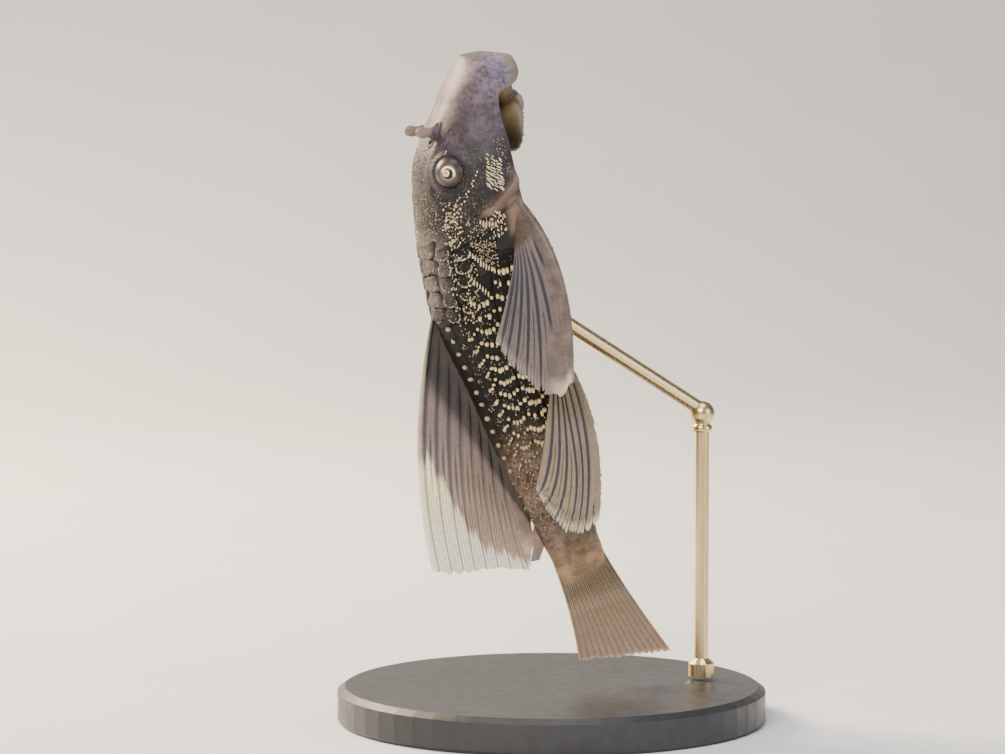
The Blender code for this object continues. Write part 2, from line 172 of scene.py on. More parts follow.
def skinFrame(s, angle):
    # the point, the outward normal and the direction to the tail
    along = bodyPoint(np.asarray(s) + 0.1, angle) - bodyPoint(np.asarray(s) - 0.1, angle)
    around = bodyPoint(s, np.asarray(angle) + 1.0) - bodyPoint(s, np.asarray(angle) - 1.0)
    return bodyPoint(s, angle), unit(np.cross(along, around)), unit(along)


def lifted(s, angle, lift):
    point, normal, _ = skinFrame(s, angle)
    return point + normal * np.asarray(lift)[..., None]


def fieldNoise(points, size, seed=0):
    shift = Vector((seed * 7.31, seed * 3.17, seed * 5.53))
    values = [noise.noise(Vector(p) / size + shift) for p in points.reshape(-1, 3)]
    return np.array(values).reshape(points.shape[:-1])


# mesh making

def meshObject(name, verts, faces, finish=None):
    mesh = bpy.data.meshes.new(name)
    corners = [tuple(int(i) for i in f) for f in faces]
    mesh.from_pydata([tuple(v) for v in np.asarray(verts) * mm], [], corners)
    mesh.update()
    made = bpy.data.objects.new(name, mesh)
    bpy.context.scene.collection.objects.link(made)
    if finish:
        mesh.materials.append(finish)
    mesh.shade_smooth()
    return made


def outward(made):
    work = bmesh.new()
    work.from_mesh(made.data)
    bmesh.ops.recalc_face_normals(work, faces=work.faces)
    work.to_mesh(made.data)
    work.free()


def dress(mesh, finish):
    mesh.materials.clear()
    mesh.materials.append(finish)


def ringShell(rings):
    # a closed shell through rings of equal length, with a pole on each end
    rings = np.asarray(rings)
    n, m = rings.shape[:2]
    verts = rings.reshape(-1, 3).tolist()
    faces = []
    for i in range(n - 1):
        for j in range(m):
            k = (j + 1) % m
            faces.append((i * m + j, i * m + k, (i + 1) * m + k, (i + 1) * m + j))
    for row in (0, n - 1):
        verts.append(rings[row].mean(axis=0).tolist())
        pole = len(verts) - 1
        for j in range(m):
            here, after = row * m + j, row * m + (j + 1) % m
            faces.append((after, here, pole) if row == 0 else (here, after, pole))
    return np.array(verts), faces


def joined(parts):
    verts, faces, count = [], [], 0
    for partVerts, partFaces in parts:
        verts.append(partVerts)
        faces += [tuple(i + count for i in f) for f in partFaces]
        count += len(partVerts)
    return np.concatenate(verts), faces


def setAttribute(mesh, name, kind, values):
    layer = mesh.attributes.new(name, kind, "POINT")
    values = np.asarray(values, dtype=np.float32)
    field = {"FLOAT": "value", "FLOAT_VECTOR": "vector", "FLOAT_COLOR": "color"}[kind]
    layer.data.foreach_set(field, values.ravel())


def setFloats(mesh, **named):
    for name, values in named.items():
        setAttribute(mesh, name, "FLOAT", values)


def tube(path, radii, around=12, flat=1.0, side=None):
    # a round or flattened piece along a path; side is the direction of its wide way
    path = np.asarray(path, float)
    way = unit(np.gradient(path, axis=0))
    side = np.array([0.31, 0.17, 0.93]) if side is None else np.asarray(side)
    first = unit(side - way * (way @ side)[:, None])
    second = np.cross(way, first)
    turn = np.linspace(0, 2 * math.pi, around, endpoint=False)
    radii = np.asarray(radii)[:, None, None]
    ring = first[:, None] * np.cos(turn)[None, :, None] + second[:, None] * flat * np.sin(turn)[None, :, None]
    return ringShell(path[:, None] + ring * radii)


def blob(centre, radii, axes, around=20):
    # an ellipsoid with its three axes given
    lat = np.linspace(0.04, math.pi - 0.04, around // 2)
    lon = np.linspace(0, 2 * math.pi, around, endpoint=False)
    ball = np.stack([np.sin(lat)[:, None] * np.cos(lon), np.sin(lat)[:, None] * np.sin(lon),
                     np.cos(lat)[:, None] * np.ones(around)], axis=-1)
    return ringShell(centre + (ball * np.asarray(radii)) @ np.asarray(axes))


# the eyes

eye = {
    "at": 8.45,
    "angle": 46.0,
    "radius": 1.42,
    "sink": 0.62,
    "lookUp": 27.0,  # degrees from straight out to the side
    "lookAhead": 5.0,
    "pupil": 0.41,  # the iris has a bright ring from here on
    "ring": 0.63,
    "bulge": 0.035,
}


def eyeCentre(side):
    return lifted(eye["at"], side * eye["angle"], -eye["sink"])


def eyeLook(side):
    up, ahead = math.radians(eye["lookUp"]), math.radians(eye["lookAhead"])
    toSnout = place(eye["at"] - 1.0) - place(eye["at"])
    toSide = np.array([0.0, -side, 0.0])
    return unit(toSide * math.cos(up) + toBack(eye["at"]) * math.sin(up) + toSnout * math.sin(ahead))


# markings that the skin, the plates and the odontodes share

marks = {
    "snoutFrom": 2.0,  # the pale naked snout fades out over this length
    "snoutTo": 9.1,
    "brownFrom": 29.0,
    "brownTo": 36.0,
    "bellyFrom": 100.0,  # degrees round the body
    "bellyTo": 124.0,
    "bellyFade": (29.5, 36.5),
    "nape": (12.2, 14.6, 19.0, 21.0),  # where the light nape starts, is full, fades and ends
    "napeSide": (25, 46),
    "crown": 0.10,
}


def angleOf(s, d, w):
    half = np.maximum(halfWidth(s), 0.05)
    level = sizeAt(3, s)
    tall = np.where(d > level, sizeAt(2, s) - level, sizeAt(4, s) + level)
    return np.degrees(np.arctan2(w / half, (d - level) / np.maximum(tall, 0.05)))


def skinPlace(points):
    # s and angle of points on or near the skin
    s, d, w = unplace(points)
    pull = body["frontSlant"] * (d - body["frontLevel"])
    s = np.where(s < body["frontLength"], (s + pull) / (1 + pull / body["frontLength"]), s)
    s = np.clip(s, 0.0, 45.4)
    return s, angleOf(s, d, w), d, w


def markings(s, angle, d, points):
    # red: pale snout, green: brown tail root, blue: belly, alpha: nape and crown lights
    a = np.abs(angle)
    wave = fieldNoise(points, 3.1, 2)
    pale = 1 - smoothStep(s + 0.012 * (a - 40) + 1.1 * wave, marks["snoutFrom"], marks["snoutTo"])
    low = np.clip((-d - 0.75) / 0.8, 0, 1) * (s < 11)
    pale = np.maximum(pale, 0.8 * low)
    brown = smoothStep(s + 1.2 * wave, marks["brownFrom"], marks["brownTo"])
    under = smoothStep(a + 5 * fieldNoise(points, 1.7, 5), marks["bellyFrom"], marks["bellyTo"])
    under = under * (1 - smoothStep(s, *marks["bellyFade"]))
    nape = band(s, *marks["nape"]) * (1 - smoothStep(a, *marks["napeSide"]))
    crown = marks["crown"] * hump(s, 8.5, 3.2) * (1 - smoothStep(a, 30, 60))
    return np.stack([pale, brown, under, np.clip(nape + crown, 0, 1)], axis=-1)


def distanceTo(points, path):
    # shortest distance from points to a path of straight steps
    best = np.full(len(points), 1e9)
    for a, b in zip(path[:-1], path[1:]):
        step = b - a
        t = np.clip(((points - a) @ step) / (step @ step), 0, 1)
        best = np.minimum(best, np.linalg.norm(points - (a + t[:, None] * step), axis=1))
    return best


def skinPath(places, side):
    s, angle = np.array(places, float).T
    t = np.linspace(0, len(s) - 1, 6 * len(s))
    return lifted(np.interp(t, range(len(s)), s), side * np.interp(t, range(len(s)), angle), 0.0)


def smoothPath(points, count):
    # a curve through the points
    points = np.asarray(points, float)
    t = np.linspace(0, len(points) - 1.0001, count)
    i = t.astype(int)
    f = (t - i)[:, None]
    padded = np.concatenate([2 * points[:1] - points[1:2], points, 2 * points[-1:] - points[-2:-1]])
    a, b, c, e = padded[i], padded[i + 1], padded[i + 2], padded[i + 3]
    bend, twist = (2 * a - 5 * b + 4 * c - e) * f ** 2, (3 * b - a - 3 * c + e) * f ** 3
    return 0.5 * (2 * b + (c - a) * f + bend + twist)


# the skin: one closed surface from snout to tail root, with the sucker disc, barbels and nostril flaps

skinSizes = {
    "voxel": 0.12,
    "plainFrom": 14.5,  # behind this the skin keeps only a share of its faces
    "plainShare": 0.70,
    "orbitRadius": 1.48,
    "orbitHeight": 0.20,
    "orbitWidth": 0.34,
    "socketDepth": 0.30,
    "nostrilRim": 0.10,
    "nostrils": [(5.95, 24.0, 0.20, 0.28), (4.72, 27.0, 0.20, 0.28)],  # s, angle, radius, depth
    "underPlates": 0.14,
    "snoutEdge": 0.07,
    "uneven": 0.05,
    "bellyFolds": 0.05,
    "pectoralWedge": (0.17, 0.72),  # share of the fin's length, half thickness
    "pelvicWedge": (0.16, 0.42),
}


# lines on the side of the head, as s and angle
headLines = {
    "groove": [(12.1, 60), (11.8, 64.5), (11.7, 72), (10.9, 78.5), (10.3, 84.5), (9.4, 92)],
    "fold": [(12.7, 62), (12.2, 69), (11.6, 79), (10.7, 87), (9.7, 96)],
    "swell": [(8.4, 78), (9.6, 78), (10.5, 76)],
    "slit": [(12.9, 66), (12.9, 74), (12.4, 82), (11.6, 92), (11.2, 104)],
    "brow": [(6.2, 34), (7.0, 30), (8.6, 27), (10.2, 30), (11.4, 36)],
    # the socket line carries only a painted shadow below and behind the eye
    "socket": [(9.85, 42), (10.15, 46), (9.95, 51)],
}


# height, middle and width of each line's ridge or furrow
lineRelief = {
    "fold": (0.24, 0.0, 0.34),
    "groove": (-0.22, 0.05, 0.26),
    "swell": (0.16, 0.0, 0.8),
    "slit": (-0.2, 0.0, 0.16),
    "brow": (0.10, 0.0, 0.5),
}


# painted shade along some of these lines: how dark it is, and how wide; on the socket line it is a painted
# shadow below the eye
lineShade = {"groove": (0.75, 0.24), "slit": (0.8, 0.16), "socket": (0.85, 0.42)}

disc = {
    "at": 5.9,
    "long": 2.55,
    "wide": 4.1,
    "power": 2.6,
    "lean": 0.55,
    # share of the plan size, drop below the axis, share of the rim's lean
    "layers": [
        (0.55, -1.00, 0.0), (0.70, -0.30, 0.0), (0.77, 0.45, 0.0), (0.83, 0.90, 0.3),
        (0.95, 1.45, 0.9), (1.00, 1.80, 1.0), (0.975, 2.00, 1.0), (0.91, 2.02, 1.0),
        (0.84, 1.90, 1.0), (0.68, 1.58, 0.8), (0.50, 1.40, 0.5), (0.36, 1.34, 0.3),
        (0.30, 1.20, 0.2), (0.27, 0.85, 0.1), (0.20, 0.55, 0.0), (0.06, 0.45, 0.0),
    ],
    "barbelTurn": 52.0,
    "barbelDrop": 2.05,
    "barbelWay": [(-0.3, 0.0), (0.55, 0.0), (1.05, 0.5), (1.35, 1.3)],  # outward, towards the tail
    "barbelRadii": ([0, 0.25, 0.8, 1], [0.42, 0.34, 0.24, 0.10]),
}


flap = {
    "at": 5.2,
    "angle": 26.0,
    "tall": 1.75,
    "flat": 0.66,
    "bend": 0.10,
    "halfWidths": ([-0.35, 0, 0.36, 0.66, 0.84, 0.94, 1], [0.70, 0.58, 0.42, 0.52, 0.46, 0.30, 0.06]),
}


def discPoint(turn, share, drop):
    along, across = np.cos(turn), np.sin(turn)
    power = disc["power"]
    reach = (np.abs(along) ** power + np.abs(across) ** power) ** (-1 / power)
    s, w = disc["at"] - disc["long"] * share * along * reach, disc["wide"] * share * across * reach
    return place(s, -drop, w)


def discRing(share, drop, part, turn):
    frill = 1 + 0.010 * np.sin(23 * turn) * part * (share > 0.9)
    return discPoint(turn, share * frill, drop + disc["lean"] * part * np.cos(turn))


def barbel(side):
    turn = side * math.radians(disc["barbelTurn"])
    rim = discPoint(turn, 1.0, disc["barbelDrop"])
    out = unit(rim - discPoint(turn, 0.5, disc["barbelDrop"]))
    path = smoothPath([rim + out * a + toTail(disc["at"]) * b for a, b in disc["barbelWay"]], 22)
    return tube(path, np.interp(np.linspace(0, 1, 22), *disc["barbelRadii"]), 14)


def nostrilFlap(side):
    root, normal, along = skinFrame(flap["at"], side * flap["angle"])
    way = unit(normal * 0.35 + toBack(flap["at"]) - along * 0.05)
    ahead = unit(-along + way * (along @ way))
    share = np.linspace(-0.35, 1.0, 24)
    wide = np.interp(share, *flap["halfWidths"])
    bend = (flap["bend"] * share ** 2)[:, None] * ahead
    return tube(root + way * (flap["tall"] * share)[:, None] + bend, wide, 18, flap["flat"], ahead)


def finShoulder(curves, reach, deep):
    # a wedge of flesh that runs from the body out on to a fin
    u, share = np.linspace(-0.04, 1.04, 26), np.linspace(-0.10, reach, 18)
    root, knee, tip = (c[:, None, :] for c in curves(u))
    sheet = bow(root, knee, tip, share[None, :, None])
    normal = unit(np.cross(np.gradient(sheet, axis=0), np.gradient(sheet, axis=1)))
    rounded = np.sqrt(np.clip(1 - (2 * np.clip(u, 0, 1) - 1) ** 2, 0.03, 1))[:, None]
    fade = np.sqrt(1 - 0.998 * np.clip(share / reach, 0, 1) ** 1.3)[None, :]
    half = normal * (deep * rounded * fade)[..., None]
    return sheetShell(sheet + half, sheet - half)


def bridge():
    # flesh between the snout's lip and the front of the disc
    axes = [unit(toTail(3.0)), unit(toBack(3.4)), np.array([0, -1.0, 0])]
    return [blob(place(3.1, -1.15, w), (1.05, 0.95, 1.5), axes, 24) for w in (-2.0, 0.0, 2.0)]


def skinParts():
    s = 0.02 + 44.4 * np.linspace(0, 1, 180) ** 1.4
    angle = np.linspace(0, 360, 150, endpoint=False)
    parts = [ringShell(bodyPoint(s[:, None], angle[None, :]))]
    turn = np.linspace(0, 2 * math.pi, 120, endpoint=False)
    layers = smoothPath(disc["layers"], 70)
    parts.append(ringShell(np.array([discRing(a, b, c, turn) for a, b, c in layers])))
    parts += bridge()
    for side in sides.values():
        parts += [barbel(side), nostrilFlap(side)]
        parts.append(finShoulder(pectoralCurves(side), *skinSizes["pectoralWedge"]))
        parts.append(finShoulder(pelvicCurves(side), *skinSizes["pelvicWedge"]))
    return parts


def remeshed(made, voxel):
    change = made.modifiers.new("remesh", "REMESH")
    change.mode = "VOXEL"
    change.voxel_size = voxel * mm
    return settled(made)


def thinned(made, spare, share):
    # fewer faces where the skin is plain, down to a share of them all
    plain = made.vertex_groups.new(name="plain")
    plain.add(np.flatnonzero(spare).tolist(), 1.0, "REPLACE")
    change = made.modifiers.new("thin", "DECIMATE")
    change.ratio, change.vertex_group = share, "plain"
    return settled(made)


def settled(made):
    # the modifiers' result as a plain mesh
    mesh = bpy.data.meshes.new_from_object(made.evaluated_get(bpy.context.evaluated_depsgraph_get()))
    made.modifiers.clear()
    made.vertex_groups.clear()
    made.data = mesh
    return made


def readRows(rows, field, width, kind=np.float32):
    flat = np.empty(len(rows) * width, dtype=kind)
    rows.foreach_get(field, flat)
    return flat.reshape(-1, width)


def coords(mesh):
    return readRows(mesh.vertices, "co", 3).astype(float) / mm


def putCoords(mesh, points):
    mesh.vertices.foreach_set("co", (points * mm).astype(np.float32).ravel())
    mesh.update()


def normalsOf(mesh):
    return readRows(mesh.vertices, "normal", 3).astype(float)


def smoothed(mesh, points, rounds, amount=0.5):
    a, b = readRows(mesh.edges, "vertices", 2, np.int64).T
    size = len(points)
    count = np.bincount(np.concatenate([a, b]), minlength=size)[:, None]
    for _ in range(rounds):
        total = [np.bincount(a, points[b, k], size) + np.bincount(b, points[a, k], size) for k in range(3)]
        points = points + amount * (np.stack(total, axis=-1) / count - points)
    return points


def keepLargest(made):
    work = bmesh.new()
    work.from_mesh(made.data)
    left, groups = set(work.verts), []
    while left:
        seed = left.pop()
        group, edge = [seed], [seed]
        while edge:
            for e in edge.pop().link_edges:
                for v in e.verts:
                    if v in left:
                        left.discard(v)
                        group.append(v)
                        edge.append(v)
        groups.append(group)
    groups.sort(key=len)
    bmesh.ops.delete(work, geom=[v for group in groups[:-1] for v in group], context="VERTS")
    work.to_mesh(made.data)
    work.free()


def lineAway(points, name, side):
    return distanceTo(points, skinPath(headLines[name], side))


def nostrilsAway(points, side, lift):
    # each nostril's distance from the points, its radius and its depth
    found = []
    for at, turn, radius, depth in skinSizes["nostrils"]:
        found.append((np.linalg.norm(points - lifted(at, side * turn, lift), axis=1), radius, depth))
    return found


def reliefAt(points, s, angle):
    # how far each skin point is pushed out along its normal
    a, d = np.abs(angle), skinPlace(points)[2]
    onBody = smoothStep(np.linalg.norm(points - bodyPoint(s, angle), axis=1), 0.45, 0.15)
    lift = np.zeros(len(points))
    for side in sides.values():
        look = eyeLook(side)
        offset = points - eyeCentre(side)
        ahead = offset @ look
        off = np.linalg.norm(offset - ahead[:, None] * look, axis=1)
        rim = skinSizes["orbitHeight"] * hump(off, skinSizes["orbitRadius"], skinSizes["orbitWidth"])
        dorsal = 0.8 + 0.35 * np.clip((d - 5.2) / 1.2, -1, 1)
        socket = skinSizes["socketDepth"] * smoothStep(off, 1.20, 1.02)
        lift += (ahead > -0.6) * (rim * dorsal - socket)
        for away, radius, depth in nostrilsAway(points, side, 0.0):
            lift -= depth * smoothStep(away, radius, radius * 0.45)
            lift += skinSizes["nostrilRim"] * hump(away, radius * 1.35, 0.14)
        own = points[:, 1] * -side > 0
        for name, (height, middle, width) in lineRelief.items():
            lift += own * height * hump(lineAway(points, name, side), middle, width)
    lift -= skinSizes["underPlates"] * band(s, 12.2, 13.2, 42.0, 43.0) * (1 - smoothStep(a, 92, 100))
    lift += skinSizes["snoutEdge"] * (1 - smoothStep(s, 0.6, 1.8)) * hump(a, 78, 30)
    lift += skinSizes["uneven"] * fieldNoise(points, 1.5, 1) * smoothStep(s, 1.0, 3.0)
    under = smoothStep(a, 112, 135) * smoothStep(s, 11, 14)
    lift += under * skinSizes["bellyFolds"] * np.sin(2.1 * s + 2.2 * fieldNoise(points, 2.3, 9))
    return lift * onBody


def markSkin(mesh, points):
    # the values that the skin's material reads
    s, angle, d, w = skinPlace(points)
    off = np.linalg.norm(points - bodyPoint(s, angle), axis=1)
    # deep gathers painted shade: in the nostril pits, along the dark lines and inside the mouth
    deep, folds = np.zeros(len(points)), np.full(len(points), 1e9)
    for side in sides.values():
        for away, radius, _ in nostrilsAway(points, side, -0.2):
            deep = np.maximum(deep, 1 - smoothStep(away, radius * 0.55, radius * 1.25))
        for name, (share, width) in lineShade.items():
            deep = np.maximum(deep, share * hump(lineAway(points, name, side), 0, width))
        folds = np.minimum(folds, distanceTo(points, skinPath(headLines["fold"][1:], side)))
    mouthAway = np.hypot((s - disc["at"]) / 0.75, w / 1.25)
    inMouth = (1 - smoothStep(mouthAway, 0.75, 1.05)) * (d < -0.3) * smoothStep(-d, 1.45, 1.15)
    gill = band(s, 10.8, 12.0, 14.0, 15.0) * band(np.abs(angle), 78, 84, 98, 110)
    setAttribute(mesh, "marks", "FLOAT_COLOR", markings(s, angle, d, points))
    setFloats(
        mesh,
        # painted shade in the hollow between the head's margin and the disc
        recess=band(-d, 0.05, 0.35, 1.4, 2.1) * band(s, 2.7, 3.4, 8.6, 9.4),
        knob=smoothStep(off, 0.35, 0.8) * (d > 4.5) * (s < 7.5),
        warm=np.maximum(hump(folds, 0, 0.5), gill),
        rootGold=smoothStep(s + 0.9 * fieldNoise(points, 2.6, 12), 39.6, 43.4),
        far=smoothStep(off, 0.6, 2.4),
        base=smoothStep(off, 0.12, 0.45) * (s > 10.5) * (s < 30),
        deep=np.maximum(deep, inMouth),
        lip=smoothStep(-d, 1.55, 2.0) * (np.abs(s - disc["at"]) < 3.3) * (s > 2.6),
    )


def makeSkin(finish):
    made = remeshed(meshObject("skin", *joined(skinParts())), skinSizes["voxel"])
    keepLargest(made)
    points = smoothed(made.data, coords(made.data), 4)
    putCoords(made.data, points)
    thinned(made, skinPlace(points)[0] > skinSizes["plainFrom"], skinSizes["plainShare"])
    mesh = made.data
    points = coords(mesh)
    s, angle = skinPlace(points)[:2]
    points = points + normalsOf(mesh) * reliefAt(points, s, angle)[:, None]
    points = smoothed(mesh, points, 1, 0.35)
    putCoords(mesh, points)
    markSkin(mesh, points)
    dress(mesh, finish)
    mesh.shade_smooth()
    return made


def sheetShell(front, back):
    # a closed shell between two grids of points, split alike on both faces
    rows, columns = front.shape[:2]
    size = rows * columns
    verts = np.concatenate([front.reshape(-1, 3), back.reshape(-1, 3)])
    i, j = np.meshgrid(np.arange(rows - 1), np.arange(columns - 1), indexing="ij")
    a = (i * columns + j).ravel()
    b, c, e = a + columns, a + columns + 1, a + 1
    tris = np.concatenate([np.stack([a, b, c], 1), np.stack([a, c, e], 1)])
    faces = np.concatenate([tris, tris[:, ::-1] + size]).tolist()
    rim = [(r, 0) for r in range(rows)] + [(rows - 1, k) for k in range(1, columns)]
    rim += [(r, columns - 1) for r in range(rows - 2, -1, -1)] + [(0, k) for k in range(columns - 2, 0, -1)]
    rim = [r * columns + k for r, k in rim]
    for p, q in zip(rim, rim[1:] + rim[:1]):
        faces.append((q, p, p + size, q + size))
    return verts, faces


# the bony plates: rows along each flank, puffy scutes on the nape, a granulated plate behind the gill

plateSizes = {
    "pitch": 1.14,
    "rows": [(4, 29), (29, 47), (47, 65), (65, 83), (83, 101)],  # angles
    "from": [19.9, 20.4, 18.2, 15.2, 15.6],
    "to": 40.6,
    "lift": 0.085,
    "root": 0.28,
    "bow": 0.30,
    "across": 11,
    "along": 10,
    # low and high angle, pitch, start and end of each row on the nape
    "scutes": [(0, 26, 1.36, 13.9, 19.8), (26, 41, 1.32, 14.2, 20.4), (41, 56, 1.12, 14.6, 20.2)],
    "girdles": [(13.9, 17.0, 55.5, 73.0), (17.15, 18.75, 53.5, 66.0)],
    "puff": {"scute": (0.24, 0.20), "girdle": (0.22, 0.20)},  # how far the ends and sides round off
}


def plateList():
    # every plate: start and end along the body, its two angles, kind and row
    plates = []
    for row, (low, high) in enumerate(plateSizes["rows"]):
        s = plateSizes["from"][row] + 0.5 * plateSizes["pitch"] * (row % 2)
        while s < plateSizes["to"]:
            pitch = plateSizes["pitch"] * np.interp(s, [34, 42], [1.0, 0.9])
            plates.append((s, s + pitch, low, high, "flank", row))
            s += pitch
    for row, (low, high, pitch, s, end) in enumerate(plateSizes["scutes"]):
        while s < end:
            plates.append((s, s + pitch, low, high, "scute", row))
            s += pitch
    return plates + [(*girdle, "girdle", row) for row, girdle in enumerate(plateSizes["girdles"])]


def flankShape(plate, x, y):
    # s, angle and lift over a plate; x runs along it and y across it, from -1 to 1
    s0, s1, low, high = plate[:4]
    share = (x + 1) / 2
    s = s0 - 0.12 + (s1 - s0 + 0.16) * share + plateSizes["bow"] * (1 - y * y) * share
    s = s - 0.12 * np.abs(y) ** 2.2 * (x > 0) * x
    angle = (low + high) / 2 + (high - low) / 2 * y * (1.04 - 0.05 * np.abs(x) ** 4)
    rise = np.clip(share, 0, 1) ** 1.6
    keel = 0.04 * hump(y, 0.1, 0.3) * rise
    edge = (1 - np.abs(x) ** 8 * (x > 0)) * (1 - 0.25 * np.abs(y) ** 9)
    lift = -0.14 + (0.14 + plateSizes["lift"] * rise + keel) * edge - 0.24 * smoothStep(s, 32.5, 38.5)
    return s, angle, lift


def puffyShape(plate, x, y, random):
    s0, s1, low, high, kind = plate[:5]
    length, half = s1 - s0, (high - low) / 2
    uneven = 1 + 0.07 * random.standard_normal(3)
    ends, edges = plateSizes["puff"][kind]
    middle = (low + high) / 2 + 1.0 * random.standard_normal()
    s0, s1 = s0 + 0.07 * random.standard_normal(), s1 + 0.05 * random.standard_normal()
    s = (s0 + s1) / 2 + length / 2 * x * (0.97 - ends * np.abs(y) ** 3) * uneven[0]
    s = s + 0.10 * (1 - y * y) * x * (kind == "scute")
    angle = middle + half * y * (1.0 - edges * np.abs(x) ** 3) * uneven[1]
    turn, phase = np.arctan2(y, x), random.uniform(0, 6.28, 2)
    lobed = (0.07 * np.sin(3 * turn + phase[0]) + 0.04 * np.sin(5 * turn + phase[1])) * (x * x + y * y)
    s, angle = s + lobed * length * x, angle + lobed * half * 2 * y
    border = 0.5 * (np.abs(x) ** 3 + np.abs(y) ** 3)
    tall = 0.13 * uneven[2] * (1 + 0.35 * x) if kind == "scute" else 0.07
    edge = (1 - np.abs(x) ** 8) * (1 - np.abs(y) ** 8)
    lift = -0.14 + (0.14 + tall * (0.75 + 0.35 * border)) * np.clip(edge, 0, 1) ** 0.8
    return s, angle, lift


def plateGrid(plate, side, random):
    along, across = plateSizes["along"], plateSizes["across"]
    x, y = np.meshgrid(np.linspace(-1, 1, along), np.linspace(-1, 1, across), indexing="ij")
    flat = plate[4] == "flank"
    s, angle, lift = flankShape(plate, x, y) if flat else puffyShape(plate, x, y, random)
    point, normal, _ = skinFrame(s, side * angle)
    lift = lift + (0.012 if flat else 0.036) * fieldNoise(point, 0.45, 11)
    return point, normal, lift, s, side * angle


def patchUv(s, angle):
    # the place of a skin point on an unwrap of the body
    u, v = 0.06 + 0.88 * (np.asarray(angle) + 180) / 360, 0.05 + 0.9 * np.asarray(s) / 45.0
    return np.stack([u, v], axis=-1)


def setBakeUv(mesh, perCorner):
    layer = mesh.uv_layers.new(name="OFBake")
    layer.data.foreach_set("uv", np.asarray(perCorner, dtype=np.float32).ravel())


def cornerVerts(mesh):
    return readRows(mesh.loops, "vertex_index", 1, np.int64)[:, 0]


def makePlates(finish):
    random = np.random.default_rng(11)
    parts, marking, places, bright = [], [], [], []
    rows, columns = plateSizes["along"], plateSizes["across"]
    grid = np.meshgrid(np.linspace(-1, 1, rows), np.linspace(-1, 1, columns), indexing="ij")
    grid = np.stack(grid[::-1], -1).reshape(-1, 2)
    for plate in plateList():
        for side in sides.values():
            point, normal, lift, s, angle = plateGrid(plate, side, random)
            shell = sheetShell(point + normal * lift[..., None], point - normal * plateSizes["root"])
            parts.append(shell if side > 0 else (shell[0], [f[::-1] for f in shell[1]]))
            d = unplace(point)[1]
            marking += [markings(s.ravel(), angle.ravel(), d.ravel(), point.reshape(-1, 3))] * 2
            span = 0.40 * (patchUv(np.ptp(s), np.ptp(angle)) - patchUv(0.0, 0.0))
            places += [patchUv(s.mean(), angle.mean()) + grid * span] * 2
            edge = np.clip(lift / 0.12, 0, 1)
            if plate[4] == "flank":
                edge = np.maximum(np.clip((lift + 0.08) / 0.08, 0, 1), smoothStep(s, 31, 34))
            bright += [edge.ravel(), np.zeros(edge.size)]
    made = meshObject("plates", *joined(parts), finish)
    mesh = made.data
    outward(made)
    setAttribute(mesh, "marks", "FLOAT_COLOR", np.concatenate(marking))
    setFloats(mesh, raised=np.concatenate(bright))
    setBakeUv(mesh, np.concatenate(places)[cornerVerts(mesh)])
    return made


# what repeats: odontodes, cheek bristles, teeth and papillae grow on points by one node tree

def scatterTree():
    tree = bpy.data.node_groups.new("growOnPoints", "GeometryNodeTree")
    inputs = {
        "Points": "Geometry", "Tuft": "Object", "Finish": "Material", "Variation": "Float", "Seed": "Int",
    }
    for name, kind in inputs.items():
        tree.interface.new_socket(name=name, in_out="INPUT", socket_type="NodeSocket" + kind)
    tree.interface.new_socket(name="Mesh", in_out="OUTPUT", socket_type="NodeSocketGeometry")
    nodes, link = tree.nodes, tree.links.new
    start, end = nodes.new("NodeGroupInput"), nodes.new("NodeGroupOutput")
    tuft, grow = nodes.new("GeometryNodeObjectInfo"), nodes.new("GeometryNodeInstanceOnPoints")
    link(start.outputs["Tuft"], tuft.inputs["Object"])
    link(start.outputs["Points"], grow.inputs["Points"])
    link(tuft.outputs["Geometry"], grow.inputs["Instance"])
    stored = {}
    for name in ("aim", "size"):
        stored[name] = nodes.new("GeometryNodeInputNamedAttribute")
        stored[name].data_type = "FLOAT_VECTOR"
        stored[name].inputs["Name"].default_value = name
    turn = nodes.new("FunctionNodeAlignRotationToVector")
    turn.axis = "Z"
    link(stored["aim"].outputs["Attribute"], turn.inputs["Vector"])
    link(turn.outputs["Rotation"], grow.inputs["Rotation"])
    vary = nodes.new("FunctionNodeRandomValue")
    vary.data_type = "FLOAT"
    for kind, socket in (("SUBTRACT", vary.inputs[2]), ("ADD", vary.inputs[3])):
        limit = nodes.new("ShaderNodeMath")
        limit.operation = kind
        limit.inputs[0].default_value = 1.0
        link(start.outputs["Variation"], limit.inputs[1])
        link(limit.outputs[0], socket)
    link(start.outputs["Seed"], vary.inputs["Seed"])
    scale = nodes.new("ShaderNodeVectorMath")
    scale.operation = "SCALE"
    link(stored["size"].outputs["Attribute"], scale.inputs[0])
    link(vary.outputs[1], scale.inputs["Scale"])
    link(scale.outputs[0], grow.inputs["Scale"])
    real, finish = nodes.new("GeometryNodeRealizeInstances"), nodes.new("GeometryNodeSetMaterial")
    link(grow.outputs["Instances"], real.inputs["Geometry"])
    link(real.outputs["Geometry"], finish.inputs["Geometry"])
    link(start.outputs["Finish"], finish.inputs["Material"])
    link(finish.outputs["Geometry"], end.inputs["Mesh"])
    return tree


